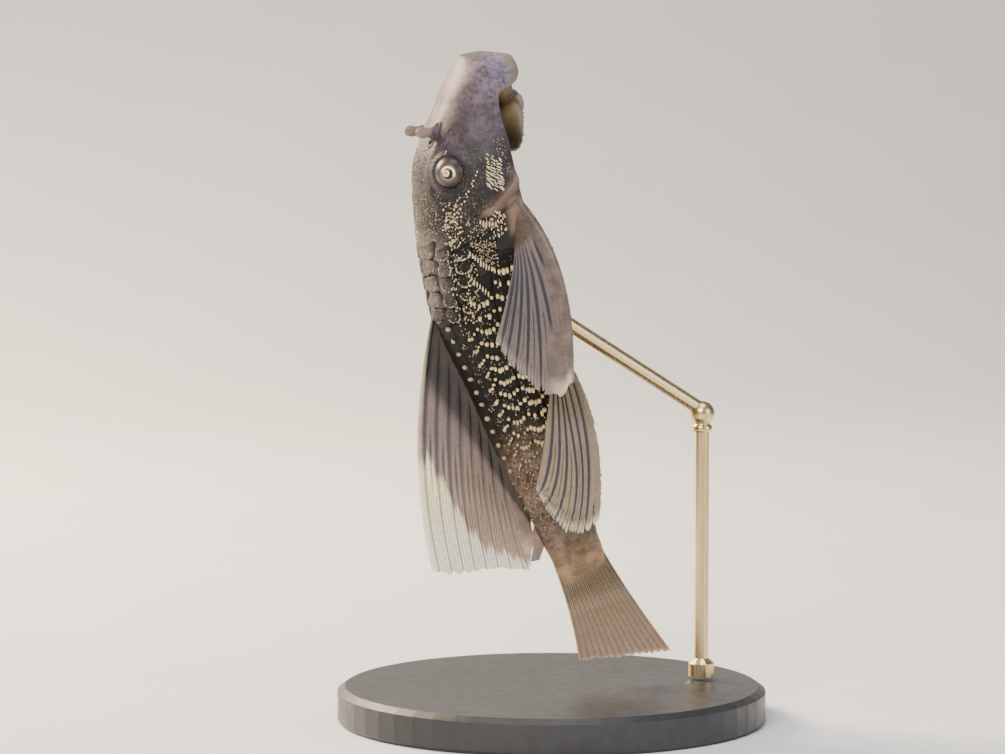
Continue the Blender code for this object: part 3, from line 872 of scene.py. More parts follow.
def tuftShape(name, profile, around, curve=0.0):
    # a closed tuft one millimetre tall along Z; profile lists (height, radius)
    turn = np.linspace(0, 2 * math.pi, around, endpoint=False)
    rings = []
    for h, r in profile:
        rings.append(np.stack([r * np.cos(turn) + curve * h * h, r * np.sin(turn), np.full(around, h)], -1))
    made = meshObject(name, *ringShell(rings))
    outward(made)
    mesh = made.data
    index = cornerVerts(mesh)
    v = np.append(np.repeat([h for h, r in profile], around), [-0.1, 1.0])
    u = np.append(np.tile(np.arange(around) / around, len(profile)), [0.5, 0.5])
    pairs = np.stack([u[index], v[index]], -1)
    for polygon in mesh.polygons:  # the faces that close the ring
        own = pairs[polygon.loop_start:polygon.loop_start + polygon.loop_total, 0]
        if np.ptp(own) > 0.5:
            own[own < 0.4] += 1
    setBakeUv(mesh, pairs)
    setFloats(mesh, height=np.clip(v, 0, 1))
    return made


class Spots:
    # the places where tufts grow
    def __init__(self):
        self.points, self.aims, self.sizes, self.shades, self.uvs, self.marks = [], [], [], [], [], []

    def add(self, points, aims, tall, wide, shade, uv, mark):
        count = len(points)
        self.points.append(points)
        self.aims.append(unit(aims))
        wide, tall = np.broadcast_to(wide, count), np.broadcast_to(tall, count)
        self.sizes.append(np.stack([wide, wide, tall], -1))
        self.shades.append(np.broadcast_to(shade, count))
        self.uvs.append(uv)
        self.marks.append(mark)

    def onSkin(self, s, angle, lift, back, out, tall, wide, shade, turn=0.0):
        # alike on both sides; back, out and turn are the shares of a tuft's way
        s, angle = np.broadcast_arrays(np.atleast_1d(s) * 1.0, np.atleast_1d(angle) * 1.0)
        for side in sides.values():
            point, normal, along = skinFrame(s, side * angle)
            aim = along * back + normal * out + np.cross(along, normal) * side * turn
            mark = markings(s, side * angle, unplace(point)[1], point)
            self.add(point + normal * lift, aim, tall, wide, shade, patchUv(s, side * angle), mark)

    def grow(self, name, tuft, tree, finish, variation, seed):
        made = meshObject(name, np.concatenate(self.points), [])
        setAttribute(made.data, "aim", "FLOAT_VECTOR", np.concatenate(self.aims))
        setAttribute(made.data, "size", "FLOAT_VECTOR", np.concatenate(self.sizes))
        setFloats(made.data, shade=np.concatenate(self.shades))
        uv = np.concatenate(self.uvs)
        setAttribute(made.data, "rootUv", "FLOAT_VECTOR", np.column_stack([uv, np.zeros(len(uv))]))
        setAttribute(made.data, "marks", "FLOAT_COLOR", np.concatenate(self.marks))
        change = made.modifiers.new("grow", "NODES")
        change.node_group = tree
        given = {"Tuft": tuft, "Finish": finish, "Variation": variation, "Seed": seed}
        for item in tree.interface.items_tree:
            if item.name in given:
                change[item.identifier] = given[item.name]
        mesh = settled(made).data
        mesh.shade_smooth()
        dress(mesh, finish)
        placeBakeUv(mesh)
        return made


def placeBakeUv(mesh):
    # each tuft keeps a patch 0.003 across round its root's place
    layer = mesh.uv_layers["OFBake"]
    own = readRows(layer.data, "uv", 2)
    root = readRows(mesh.attributes["rootUv"].data, "vector", 3)[cornerVerts(mesh), :2]
    layer.data.foreach_set("uv", (root + 0.003 * (own - 0.5)).astype(np.float32).ravel())


odontodes = {
    "dotTall": 0.50,  # the large thorn of each plate beside the back
    "dotWide": 0.27,
    "combTall": [0.38, 0.44, 0.54, 0.60, 0.52],
    "combWide": [0.13, 0.145, 0.155, 0.165, 0.14],
    "combCount": [3, 3, 5, 5, 4],
    "fieldCount": 10,
    "last": 38.0,  # no combs beyond this place
    "scuteRim": [12, 16, 18],
    "scuteField": 16,
    # start, end and count of each comb of dashes behind the gill
    "dashes": [((15.45, 54.5), (17.25, 68), 10), ((17.25, 51.5), (19.0, 62), 8), ((13.1, 64), (13.5, 73), 6)],
    "bristleRows": 12,
    "bristle": 0.46,
    "bristleWide": 0.066,
}


def rearEdge(plate, y):
    s1, low, high = plate[1:4]
    s = s1 + 0.02 + plateSizes["bow"] * (1 - y * y) - 0.12 * np.abs(y) ** 2.2
    return s, (low + high) / 2 + (high - low) / 2 * y * 0.92


def scattered(random, count, s0, s1, a0, a1):
    return random.uniform(s0, s1, count), random.uniform(a0, a1, count)


def backSpots(spots, random, s0, s1):
    # one large thorn on each plate beside the back, and three small ones near the tail
    if s0 < 33:
        grown = random.uniform(0.85, 1.15, 2)
        tall, wide = odontodes["dotTall"] * grown[0], odontodes["dotWide"] * grown[1]
        spots.onSkin(s1 + 0.02, 23.5, -0.04, 1.0, 0.45, tall, wide, 0.42)
    else:
        s = s1 + 0.02 + random.uniform(-0.1, 0.1, 3)
        spots.onSkin(s, [14, 19, 24], 0.02, 1.0, 0.3, 0.24, 0.08, 0.3)


def flankSpots(spots, random, plate):
    # a comb along each plate's rear edge, and small ones over its face
    s0, s1, low, high, _, row = plate
    rear = smoothStep(s0, 29, 35)
    count = odontodes["combCount"][row] + int(random.integers(0, 2))
    y = np.linspace(-0.84, 0.84, count) + random.uniform(-0.06, 0.06, count)
    if row == 1:
        y = y * 0.35 + 0.62
    s, angle = rearEdge(plate, y)
    s = s + random.uniform(-0.10, 0.05, count)
    tall = odontodes["combTall"][row] * np.interp(np.abs(y), [0, 1], [1.15, 0.75])
    tall = tall * random.uniform(0.8, 1.15, count)
    wide = odontodes["combWide"][row] * random.uniform(0.8, 1.2, count)
    shade = 0.68 + 0.1 * row * (1 - rear) - 0.30 * rear + random.uniform(-0.3, 0.25, count)
    shade = np.clip(shade, 0.15, 1) * (1 - 0.3 * rear)
    tall, wide = tall * (1 - 0.55 * rear), wide * (1 - 0.55 * rear)
    kept = random.random(count) > 0.05
    spots.onSkin((s - 0.20)[kept], angle[kept], 0.07, 1.0, 0.32, tall[kept], wide[kept], shade[kept])
    count = odontodes["fieldCount"]
    s, angle = scattered(random, count, s0 + 0.3, s1 - 0.1, low + 2, high - 2)
    grown = random.uniform(0.7, 1.5, count)
    spots.onSkin(s, angle, 0.02, 1.0, 0.5, 0.14 * grown, 0.045 * grown, random.uniform(0.1, 0.7, count))
    if rear > 0.1:
        s, angle = scattered(random, 8, s0 + 0.1, s1, low + 1, high - 1)
        spots.onSkin(s, angle, 0.0, 1.0, 0.3, 0.15, 0.04, random.uniform(0.1, 0.4, 8))


def scuteSpots(spots, random, plate):
    s0, s1, low, high, _, row = plate
    count = odontodes["scuteRim"][row]
    turn = random.uniform(-1.9, 1.9, count)
    s = (s0 + s1) / 2 + (s1 - s0) / 2 * 0.80 * np.cos(turn)
    angle = (low + high) / 2 + (high - low) / 2 * 0.80 * np.sin(turn) * 0.92
    tall, wide, top = 0.13 + 0.03 * row, 0.045 + 0.014 * row, 0.5 + 0.2 * row
    spots.onSkin(s, angle, 0.08, 0.9, 0.7, tall, wide, random.uniform(0.15, top, count))
    count, wide, top = odontodes["scuteField"], 0.04 + 0.006 * row, 0.25 + 0.1 * row
    s, angle = scattered(random, count, s0 + 0.1, s1 - 0.1, low + 2, high - 2)
    spots.onSkin(s, angle, 0.09, 0.9, 0.7, 0.09, wide, random.uniform(0.05, top, count))


def trunkSpots():
    random = np.random.default_rng(5)
    spots = Spots()
    for plate in plateList():
        s0, s1, _, _, kind, row = plate
        if kind == "scute":
            scuteSpots(spots, random, plate)
        elif kind == "flank" and s0 <= odontodes["last"]:
            if row == 0:
                backSpots(spots, random, s0, s1)
            else:
                flankSpots(spots, random, plate)
    # granulated plates behind the gill, with a comb of dashes on each rear edge
    for (s0, a0), (s1, a1), count in odontodes["dashes"]:
        t = np.linspace(0, 1, count)
        s, angle = s0 + (s1 - s0) * t - 0.40, a0 + (a1 - a0) * t
        tall = 0.70 * np.interp(t, [0, 0.4, 1], [0.7, 1.1, 0.8]) * random.uniform(0.85, 1.1, count)
        spots.onSkin(s, angle, 0.10, 1.0, 0.26, tall, 0.078, random.uniform(0.8, 1.0, count), 0.15)
    s, angle = scattered(random, 190, 14.1, 16.6, 55.5, 71)
    keep = s < 15.2 + (angle - 55) * 0.11
    spots.onSkin(s[keep], angle[keep], 0.17, 0.8, 0.7, 0.14, 0.055, random.uniform(0.2, 0.65, keep.sum()))
    # clusters between the nape's scutes and the flank's rows
    for _ in range(230):
        s, angle = random.uniform(12.6, 21.0), random.uniform(37, 57)
        if (math.sin(s * 4.6) + math.sin(angle * 0.42 + s)) > -0.4:
            tall, wide = random.uniform(0.16, 0.26), random.uniform(0.05, 0.085)
            spots.onSkin(s, angle, 0.10, 0.9, 0.55, tall, wide, random.uniform(0.35, 0.95))
    return spots


# count, from and to along the body, from and to round it, height, width, dullest and brightest, lift
headPatches = [
    (72, 10.8, 14.3, 39, 52, 0.20, 0.085, 0.4, 0.95, 0.0),  # the bright cluster behind the eye
    (110, 10.6, 14.4, 38, 53, 0.13, 0.05, 0.05, 0.5, 0.0),
    (460, 9.8, 13.8, 0, 38, 0.10, 0.045, 0.05, 0.35, 0.0),
    (260, 7.0, 12.4, 50, 74, 0.09, 0.04, 0.05, 0.35, 0.0),
    (210, 6.4, 9.0, 0, 34, 0.07, 0.035, 0.0, 0.25, 0.02),
    (60, 12.2, 14.4, 69, 79, 0.24, 0.06, 0.6, 1.0, 0.0),  # along the gill cover's rear
    (36, 6.6, 9.6, 79, 88, 0.12, 0.045, 0.35, 0.8, 0.0),  # the cheek's upper margin
    (70, 12.4, 14.0, 56, 68, 0.14, 0.05, 0.2, 0.7, 0.0),
]


# single beads under and before the eye
headRow = np.array([
    (8.8, 66.5), (9.05, 65.4), (9.45, 63.2), (9.65, 61.8), (9.85, 62.4), (10.2, 59), (10.35, 57.2),
    (10.6, 57.6), (10.92, 55.4), (10.72, 50.6), (10.55, 52.4), (11.1, 53.2), (6.9, 43.5), (6.75, 44.2),
])


def headSpots():
    random = np.random.default_rng(8)
    spots = Spots()
    for count, s0, s1, a0, a1, tall, wide, low, high, lift in headPatches:
        s, angle = scattered(random, count, s0, s1, a0, a1)
        tall, wide = tall * random.uniform(0.7, 1.3, count), wide * random.uniform(0.7, 1.25, count)
        spots.onSkin(s, angle, lift, 0.9, 0.6, tall, wide, random.uniform(low, high, count))
    shade = random.uniform(0.7, 1.0, len(headRow))
    spots.onSkin(headRow[:, 0], headRow[:, 1], 0.02, 0.8, 0.6, 0.26, 0.075, shade)
    return spots


def bristleSpots():
    # erectile bristles in slanting rows on each cheek
    random = np.random.default_rng(3)
    spots = Spots()
    last = odontodes["bristleRows"] - 1
    for k in range(last + 1):
        count = 5 if 0 < k < last else 3
        t = np.linspace(0, 1, count)
        s = 7.65 + 0.22 * k + 0.48 * t + random.uniform(-0.06, 0.06, count)
        angle = 74.2 - 0.30 * k + 7.6 * t + random.uniform(-0.5, 0.5, count)
        tall = odontodes["bristle"] * random.uniform(0.75, 1.15, count) * (0.8 + 0.06 * k)
        wide = odontodes["bristleWide"] * random.uniform(0.85, 1.2, count)
        spots.onSkin(s, angle, 0.02, 0.72, 0.55, tall, wide, random.uniform(0.75, 1.0, count), -0.62)
    return spots


# fins: a grid of fine columns over rays that branch, with thin membrane between

finSizes = {
    "gap": 0.12,
    "membrane": 0.11,
    "rayTip": 0.20,
    "foot": 0.34,  # half a ray's width, as a share of the way to the next one
    "segment": 0.15,
    "fade": 0.12,  # share of the fin's length over which a web opens or closes
}


def bow(root, knee, tip, share):
    return root * (1 - share) ** 2 + knee * 2 * share * (1 - share) + tip * share ** 2


def webPlaces(spec, v):
    # where the membrane between two rays lies, across the fin, at each share of its length
    webs = spec["rays"] - 1
    if not spec["webs"]:
        return np.tile((np.arange(webs) + 0.5) / webs, (len(v), 1))
    table = np.array(spec["webs"])
    return np.stack([np.polyval(np.polyfit(table[:, 0], table[:, k + 1], 3), v) for k in range(webs)], -1)


def rayIndex(spec, u, v):
    # 0 at the leading ray, 1 at the next, and so on; a web keeps its own width between two rays
    webs = webPlaces(spec, v)
    count, foot = spec["rays"], finSizes["foot"]
    wide = np.interp(v, *(spec["webWidth"] or ([0, 1], [0.16 / (count - 1)] * 2)))
    steps = np.concatenate([[k + foot, k + 1 - foot, k + 1] for k in range(count - 1)])
    index = np.empty((len(u), len(v)))
    for j, web in enumerate(webs):
        middles = np.append((web[:-1] + web[1:]) / 2, 1.0)
        knots = np.stack([web - wide[j], web + wide[j], middles], -1).ravel()
        index[:, j] = np.interp(u, np.append(0.0, knots), np.append(0.0, steps))
    return index


def rayRelief(spec, x, vv):
    # 1 on the crest of a ray or of its branches, 0 on the web; and where skin covers the web's groove
    off = x - np.round(x)
    split, split2 = spec["splits"]
    first, second = smoothStep(vv, split, split + 0.25), smoothStep(vv, split2, split2 + 0.2)
    foot = finSizes["foot"] * smoothStep(vv, -0.4, 0.25)
    wayOut = foot * 0.5 * first  # how far each pair of branches stands off the ray's middle
    branch = foot - wayOut
    wayApart = branch * 0.5 * second
    reach = (branch - wayApart) * (1 - spec["part"] * first)
    ray = np.zeros(x.shape)
    for i in (-1, 1):
        for j in (-1, 1):
            across = (off - i * wayOut - j * wayApart) / reach
            ray = np.maximum(ray, np.sqrt(np.clip(1 - across ** 2, 0, 1)))
    web = np.clip(np.floor(x).astype(int), 0, spec["rays"] - 2)
    covered, fade = np.zeros(x.shape), finSizes["fade"]
    for k, (opens, closes) in spec["shown"].items():
        covered = np.where(web == k, 1 - band(vv, opens, opens + fade, closes - fade, closes), covered)
    covered = np.maximum(covered, 1 - smoothStep(vv, spec["opens"], spec["opens"] + fade))
    return np.maximum(ray, covered * 0.9), covered


def finSurface(spec, curves):
    # points of the fin's middle sheet, its thickness and its markings
    count, membrane = spec["rays"], finSizes["membrane"]
    u = np.linspace(0, 1, (count - 1) * spec["columns"] + 1)
    v = np.linspace(0, 1, spec["rows"])
    root, knee, tip = (c[:, None, :] for c in curves(u * spec["reach"]))
    x = rayIndex(spec, u, v)
    uu, vv = np.broadcast_to(u[:, None], x.shape), np.broadcast_to(v[None, :], x.shape)
    ray, covered = rayRelief(spec, x, vv)
    thick = membrane + (spec["thick"] * (1 - vv) + finSizes["rayTip"] * vv - membrane) * ray
    spine = np.zeros(x.shape)
    if spec["spine"]:
        deep, wide = spec["spine"]
        wide = wide * np.ones(len(v)) if np.isscalar(wide) else np.interp(v, [0, 1], wide)
        swell = np.sqrt(np.clip(1 - (2 * np.clip(uu / wide, 0, 1) ** 0.8 - 1) ** 2, 0, 1))
        spine = (uu < wide) * 1.0
        leading = membrane + (deep * (1 - 0.55 * vv) - membrane) * swell
        thick = np.maximum(thick * (1 - spine), leading * spine)
        ray = np.maximum(ray * (1 - spine), spine)
    thick = thick * np.sqrt(np.clip(np.minimum(uu, 1 - uu) / 0.012, 0.12, 1))
    # the free edge: branches reach past the membrane, unevenly
    random = np.random.default_rng(spec["seed"])
    frond = np.interp(x[:, -1] * 4, np.arange(count * 4 + 1), random.uniform(-1, 1, count * 4 + 1))
    reach = 1 - spec["notch"] * (1 - ray[:, -1]) + spec["ragged"] * frond
    reach = reach - spec["round"] * (1 - smoothStep(u, 0.0, 0.16))
    share = vv * np.where(vv > 0.5, 1 + (reach[:, None] - 1) * ((vv - 0.5) * 2) ** 2, 1)
    sheet = bow(root, knee, tip, share[..., None])
    normal = unit(np.cross(np.gradient(sheet, axis=0), np.gradient(sheet, axis=1)))
    sway = spec["wave"] * np.sin(spec["waves"] * math.pi * uu + 2.2 * vv) * vv ** 1.3
    sway = sway + spec["wave"] * 0.5 * np.sin(5.1 * vv + 9 * uu) * vv
    sheet = sheet + normal * sway[..., None]
    length = np.linalg.norm(tip[:, 0] - root[:, 0], axis=1)[:, None] * share
    thick = thick * (1 - 0.4 * smoothStep(vv, 0.92, 1.0))
    return sheet, normal, thick, ray, spine, covered, uu, vv, length, x


def bothFaces(*values):
    # one row for each vertex of the fin, first on its front and then on its back
    shape = np.broadcast_shapes(*(np.shape(a) for a in values))
    flat = np.stack([np.broadcast_to(a, shape).ravel() for a in values], -1)
    return np.concatenate([flat, flat])


def makeFin(name, kind, curves, finish):
    spec = {**finDefaults, **finSpecs[kind]}
    sheet, normal, thick, ray, spine, covered, u, v, length, x = finSurface(spec, curves)
    fleshLong = spec["fleshLong"]
    rootBlend = 1 - smoothStep(length + 0.5 * np.sin(9 * u) + 1.2 * u * (fleshLong > 2), 0.3, fleshLong)
    fleshy = (1 - smoothStep(length, 0.0, fleshLong)) * np.clip(4 * u * (1 - u), 0, 1) ** 0.5
    thick = thick * (1 - fleshy) + np.maximum(thick, 0.25 + spec["flesh"]) * fleshy
    half = normal * thick[..., None] / 2
    made = meshObject(name, *sheetShell(sheet + half, sheet - half), finish)
    outward(made)
    mesh = made.data
    flesh = np.maximum(rootBlend, np.maximum(spec["fleshSpine"] * (spine > 0), 0.8 * covered))
    looks = bothFaces(ray, spec["cream"](u, v), spec["tips"](u, v), flesh)
    setAttribute(mesh, "fin", "FLOAT_COLOR", looks)
    setAttribute(mesh, "ray", "FLOAT_VECTOR", bothFaces(x, length, v))
    dark, light = spec["tone"]
    setFloats(
        mesh,
        tone=bothFaces(dark + (light - dark) * v),
        blue=bothFaces(np.interp(u, *spec["blue"])),
        tan=bothFaces(np.full(v.shape, spec["tan"])),
        light=bothFaces(np.interp(v, *spec["light"])),
        gold=bothFaces(spec["gold"] * (1 - smoothStep(length, 2.2, 4.6))),
    )
    return made


def dorsalCurves(u):
    # past its last ray, a fleshy web ties the fin to the back
    last, past = np.minimum(u, 1.0), np.clip((u - 1.0) / 0.14, 0, 1)
    root = lifted(19.7 + 14.1 * last + 4.4 * past, 0.0 * u, -finSizes["gap"])
    tip = place(38.5 + 2.1 * last ** 0.4 + 1.2 * last ** 3 - 2.0 * past, 14.3 - 7.5 * last - 1.5 * past)
    knee = (root + tip) / 2 + toBack(0.0, 2.5 * (1 - last) ** 1.5 + 0.5 * last - 0.3 * past)
    return root, knee, tip


def adiposeCurves(u):
    root = lifted(38.7 + 1.9 * u, 0.0 * u, -finSizes["gap"])
    tip = place(41.2 + 0.2 * u, sizeAt(2, 38.7) + 1.4 - 0.9 * u)
    return root, (root + tip) / 2, tip


def caudalCurves(u):
    root, knee = place(42.4, 4.72 - 4.34 * u), place(47.0, 5.0 - 5.0 * u)
    return root, knee, place(50.5 + 2.9 * u, 6.15 - 7.55 * u)


def analCurves(u):
    root = lifted(31.8 + 1.7 * u, 180.0, -finSizes["gap"])
    tip = place(37.3 - 0.9 * u, -1.7 + 1.0 * u)
    return root, (root + tip) / 2, tip


def pectoralCurves(side):
    def curves(u):
        root = lifted(12.0 + 3.2 * u, side * (94.0 - 10.0 * u), -0.1)
        knee = place(17.6 + 0.2 * u, -2.5 + 5.4 * u, side * (11.4 - 2.4 * u))
        tip = place(28.2 - 1.2 * u - 4.5 * u ** 3, 0.5 + 5.2 * u - 0.7 * u * u, side * (10.0 - 2.8 * u))
        return root, knee, tip
    return curves


def pelvicCurves(side):
    def curves(u):
        root = lifted(24.2 + 1.2 * u, side * (122.0 - 16.0 * u), 0.10)
        knee = place(30.5 - 1.0 * u, -2.6 + 4.6 * u, side * (7.6 - 1.2 * u))
        tip = place(38.7 + 5.2 * u - 8.9 * u * u, 0.85 + 7.0 * u - 3.15 * u * u, side * (7.6 - 1.8 * u))
        return root, knee, tip
    return curves


def none(u, v):
    return np.zeros_like(u)


def paleTips(u, v):
    return 0.6 * smoothStep(v, 0.94, 0.99)


def dorsalCream(u, v):
    at = [0, 0.12, 0.26, 0.36, 0.47, 0.55, 0.75, 0.9, 1.0]
    edge = np.interp(u, at, [0.53, 0.52, 0.61, 0.73, 0.81, 0.86, 0.87, 0.92, 0.97])
    edge = edge + 0.025 * np.sin(51 * u) + 0.015 * np.sin(131 * u + 1)
    # a pale leading edge: partly the fin's own colour, partly a painted rim highlight
    leading = 0.25 * (1 - smoothStep(u, 0.010, 0.034)) * smoothStep(v, 0.06, 0.25)
    return np.maximum(smoothStep(v, edge - 0.02, edge + 0.045), leading)


def pectoralTips(u, v):
    strength = np.interp(u, [0, 0.04, 0.14, 0.34, 0.46, 1.0], [0.3, 0.75, 0.7, 0.15, 0.12, 0.25])
    return smoothStep(v, 0.91, 0.98) * strength


def pelvicTips(u, v):
    return smoothStep(v, 0.955, 0.99) * (0.55 + 0.2 * (u < 0.6))


def caudalTips(u, v):
    return 0.6 * smoothStep(v, 0.96, 0.995)


# what a fin has unless its own table says otherwise; pairs of lists go from root to tip
finDefaults = {
    "columns": 20,
    "rows": 120,
    "reach": 1.0,
    "thick": 0.46,
    "part": 0.12,  # how far a ray's branches narrow
    "spine": None,  # thickness and share of the width
    "webs": None,
    "webWidth": None,
    "shown": {},  # webs that show only from one share of the length to another
    "opens": 0.02,
    "round": 0.0,
    "blue": ([0, 1], [0.0, 0.0]),  # this one goes across the fin
    "light": ([0, 1], [1.0, 1.0]),
    "tan": 1.0,
    "gold": 0.0,
    "flesh": 0.3,
    "fleshLong": 1.6,
    "fleshSpine": 0.0,
    "cream": none,
    "tips": none,
}


finSpecs = {
    "dorsal": {
        "rays": 10, "columns": 22, "rows": 150, "reach": 1.14, "seed": 21,
        "splits": (0.22, 0.50), "part": 0.25, "spine": (0.62, 0.045), "shown": {8: (2.0, 3.0)},
        "webWidth": ([0, 0.2, 0.5, 1], [0.012, 0.010, 0.008, 0.006]),
        "notch": 0.005, "ragged": 0.010, "wave": 0.20, "waves": 3.0,
        "tone": (0.0, 0.6), "blue": ([0, 0.3, 0.5, 1], [0.75, 0.6, 0.1, 0.0]),
        "light": ([0, 0.2, 0.28, 0.5, 0.8, 1], [0.35, 0.52, 2.4, 3.0, 4.0, 4.0]),
        "fleshLong": 1.0, "fleshSpine": 0.3, "cream": dorsalCream,
    },
    "adipose": {
        "rays": 3, "columns": 12, "rows": 40, "seed": 4,
        "splits": (0.8, 0.95), "spine": (0.5, 0.3),
        "notch": 0.0, "ragged": 0.0, "wave": 0.02, "waves": 1.0,
        "tone": (0.3, 0.3), "light": ([0, 1], [2.6, 3.2]), "fleshSpine": 0.6,
    },
    "caudal": {
        "rays": 15, "columns": 16, "rows": 110, "seed": 9,
        "splits": (-0.1, 0.35), "part": 0.4, "webWidth": ([0, 1], [0.004, 0.006]), "opens": 0.03,
        "notch": 0.012, "ragged": 0.012, "wave": 0.14, "waves": 2.2,
        "tone": (0.9, 0.8), "light": ([0, 0.2, 0.3, 0.45, 1], [2.5, 2.4, 2.1, 3.1, 3.6]), "gold": 1.0,
        "flesh": 0.2, "fleshLong": 2.8, "tips": caudalTips,
    },
    "anal": {
        "rays": 5, "columns": 16, "rows": 70, "seed": 12,
        "splits": (0.45, 0.8), "notch": 0.05, "ragged": 0.02, "wave": 0.05, "waves": 1.0,
        "tone": (0.4, 0.7), "blue": ([0, 1], [0.2, 0.2]), "tips": paleTips,
    },
    "pectoral": {
        "rays": 8, "rows": 130, "seed": 31,
        "splits": (0.42, 0.74), "spine": (0.85, (0.30, 0.12)), "opens": 0.12, "round": 0.06,
        # share of the length, then where each web lies across the fin
        "webs": [
            (0.0, 0.50, 0.63, 0.70, 0.76, 0.83, 0.89, 0.95),
            (0.3, 0.36, 0.51, 0.62, 0.71, 0.80, 0.88, 0.95),
            (0.55, 0.25, 0.39, 0.565, 0.695, 0.80, 0.88, 0.95),
            (0.75, 0.16, 0.31, 0.50, 0.665, 0.78, 0.88, 0.95),
            (1.0, 0.10, 0.25, 0.455, 0.65, 0.78, 0.88, 0.95),
        ],
        "shown": {0: (0.14, 0.45), 1: (0.18, 0.78)},
        "webWidth": ([0, 0.15, 0.5, 0.8, 1], [0.005, 0.013, 0.021, 0.015, 0.009]),
        "notch": 0.02, "ragged": 0.008, "wave": 0.14, "waves": 2.0,
        "tone": (0.75, 0.95), "blue": ([0, 1], [1.0, 1.0]), "tan": 0.0,
        "light": ([0, 0.3, 1], [0.85, 1.0, 1.1]),
        "flesh": 0.35, "fleshLong": 5.2, "fleshSpine": 0.9, "tips": pectoralTips,
    },
    "pelvic": {
        "rays": 7, "seed": 37,
        "splits": (0.40, 0.74), "spine": (0.60, 0.10), "opens": 0.06,
        "webs": [
            (0.0, 0.16, 0.32, 0.46, 0.60, 0.74, 0.88), (0.5, 0.20, 0.35, 0.50, 0.62, 0.75, 0.88),
            (0.7, 0.195, 0.285, 0.385, 0.55, 0.68, 0.84), (0.88, 0.23, 0.34, 0.46, 0.67, 0.82, 0.93),
            (1.0, 0.25, 0.37, 0.50, 0.70, 0.85, 0.95),
        ],
        "webWidth": ([0, 0.2, 0.6, 0.85, 1], [0.008, 0.014, 0.018, 0.013, 0.008]),
        "notch": 0.025, "ragged": 0.010, "wave": 0.10, "waves": 2.0,
        "tone": (0.8, 1.0), "blue": ([0, 1], [0.9, 0.9]), "light": ([0, 1], [1.25, 1.65]),
        "flesh": 0.5, "fleshLong": 2.2, "fleshSpine": 0.4, "tips": pelvicTips,
    },
}


def finSpineSpots():
    # fine odontodes along the outer edge of each paired fin and on its rays
    random = np.random.default_rng(17)
    spots = Spots()
    paired = (("pectoral", pectoralCurves, 110, 0.14, 0.12), ("pelvic", pelvicCurves, 230, 0.10, 0.24))
    for kind, curves, count, wide, tall in paired:
        for side in sides.values():
            u = np.concatenate([random.uniform(0.0, 0.04, count), random.uniform(0.0, wide, count)])
            v = random.uniform(0.08, 0.95, len(u))
            spot = bow(*curves(side)(u), v[:, None])
            along = unit(bow(*curves(side)(u), v[:, None] + 0.01) - spot)
            inward = unit(bow(*curves(side)(u + 0.02), v[:, None]) - spot)
            face = np.cross(along, inward)
            flip = np.where(random.random(len(u)) < 0.6, 1.0, -1.0)
            flip = (flip * np.sign((face @ np.array([0, -side, 0.0])) + 1e-9))[:, None]
            deep = finSpecs[kind]["spine"][0] * (1 - 0.55 * v) / 2
            over = np.sin(np.clip(u / (2 * wide), 0.02, 0.98) * math.pi) ** 0.5
            aim = along + np.where((u < 0.04)[:, None], -inward * 0.55, face * flip * 0.35)
            spot = spot + face * flip * (deep * over)[:, None] * 0.92
            uv = np.stack([np.full(len(u), 0.02 if side > 0 else 0.97), 0.1 + 0.8 * v], -1)
            mark = np.tile([0.0, 0.6, 0.0, 0.0], (len(u), 1))
            long, shade = tall * random.uniform(0.6, 1.2, len(u)), random.uniform(0.25, 0.8, len(u))
            spots.add(spot, aim, long, 0.045, shade, uv, mark)
    return spots


mouth = {
    "papillae": 620,
    "teeth": 17,  # on each half jaw
    "toothTall": 0.52,
    "toothWide": 0.036,
    "toothDrop": 0.78,
    "barDrop": 0.66,
    "barRadius": 0.19,
}


def discSpots():
    # papillae over the inside of the disc
    random = np.random.default_rng(23)
    spots = Spots()
    layers = smoothPath(disc["layers"], 200)
    low, high = 90, 150
    for _ in range(mouth["papillae"]):
        i = int(random.integers(low, high))
        turn = random.uniform(0, 2 * math.pi)
        here = discRing(*layers[i], turn)
        there = discRing(*layers[i + 1], turn)
        around = discRing(*layers[i], turn + 0.02) - here
        normal = unit(np.cross(there - here, around))
        if normal @ np.array([1.0, 0, 0]) < 0:
            normal = -normal
        size = random.uniform(0.10, 0.17) * np.interp(i, [low, high], [0.8, 1.2])
        uv = np.array([[0.5 + 0.45 * (turn / math.pi - 1) * 0.2, 0.02 + 0.0004 * (i - low)]])
        mark = np.array([[0.6, 0, 0, 0]])
        spots.add(here[None], normal[None], size, size * 0.62, random.uniform(0.2, 0.8), uv, mark)
    return spots


def jawHalves():
    return [(jaw, half) for jaw in (-1, 1) for half in (-1, 1)]


def toothSpots():
    # two short jaws, each half with a row of fine bent teeth
    random = np.random.default_rng(29)
    spots = Spots()
    out, back = -toBack(disc["at"]), toTail(disc["at"])
    uv, mark = np.array([[0.5, 0.015]]), np.zeros((1, 4))
    for jaw, half in jawHalves():
        aim = (out * 0.9 - back * jaw * 0.55)[None]
        for t in np.linspace(0, 1, mouth["teeth"]):
            s, w = disc["at"] + jaw * (0.46 - 0.16 * t), half * (0.14 + 0.92 * t)
            tall = mouth["toothTall"] * random.uniform(0.9, 1.1)
            spots.add(place(s, -mouth["toothDrop"], w)[None], aim, tall, mouth["toothWide"], 0.9, uv, mark)
    return spots


def jawBars():
    parts = []
    t = np.linspace(0, 1, 12)
    radii = mouth["barRadius"] * np.sin(np.linspace(0.35, 2.8, 12)) ** 0.5
    for jaw, half in jawHalves():
        path = place(disc["at"] + jaw * (0.52 - 0.16 * t), -mouth["barDrop"], half * (0.08 + 1.02 * t))
        parts.append(tube(path, radii, 12))
    return joined(parts)


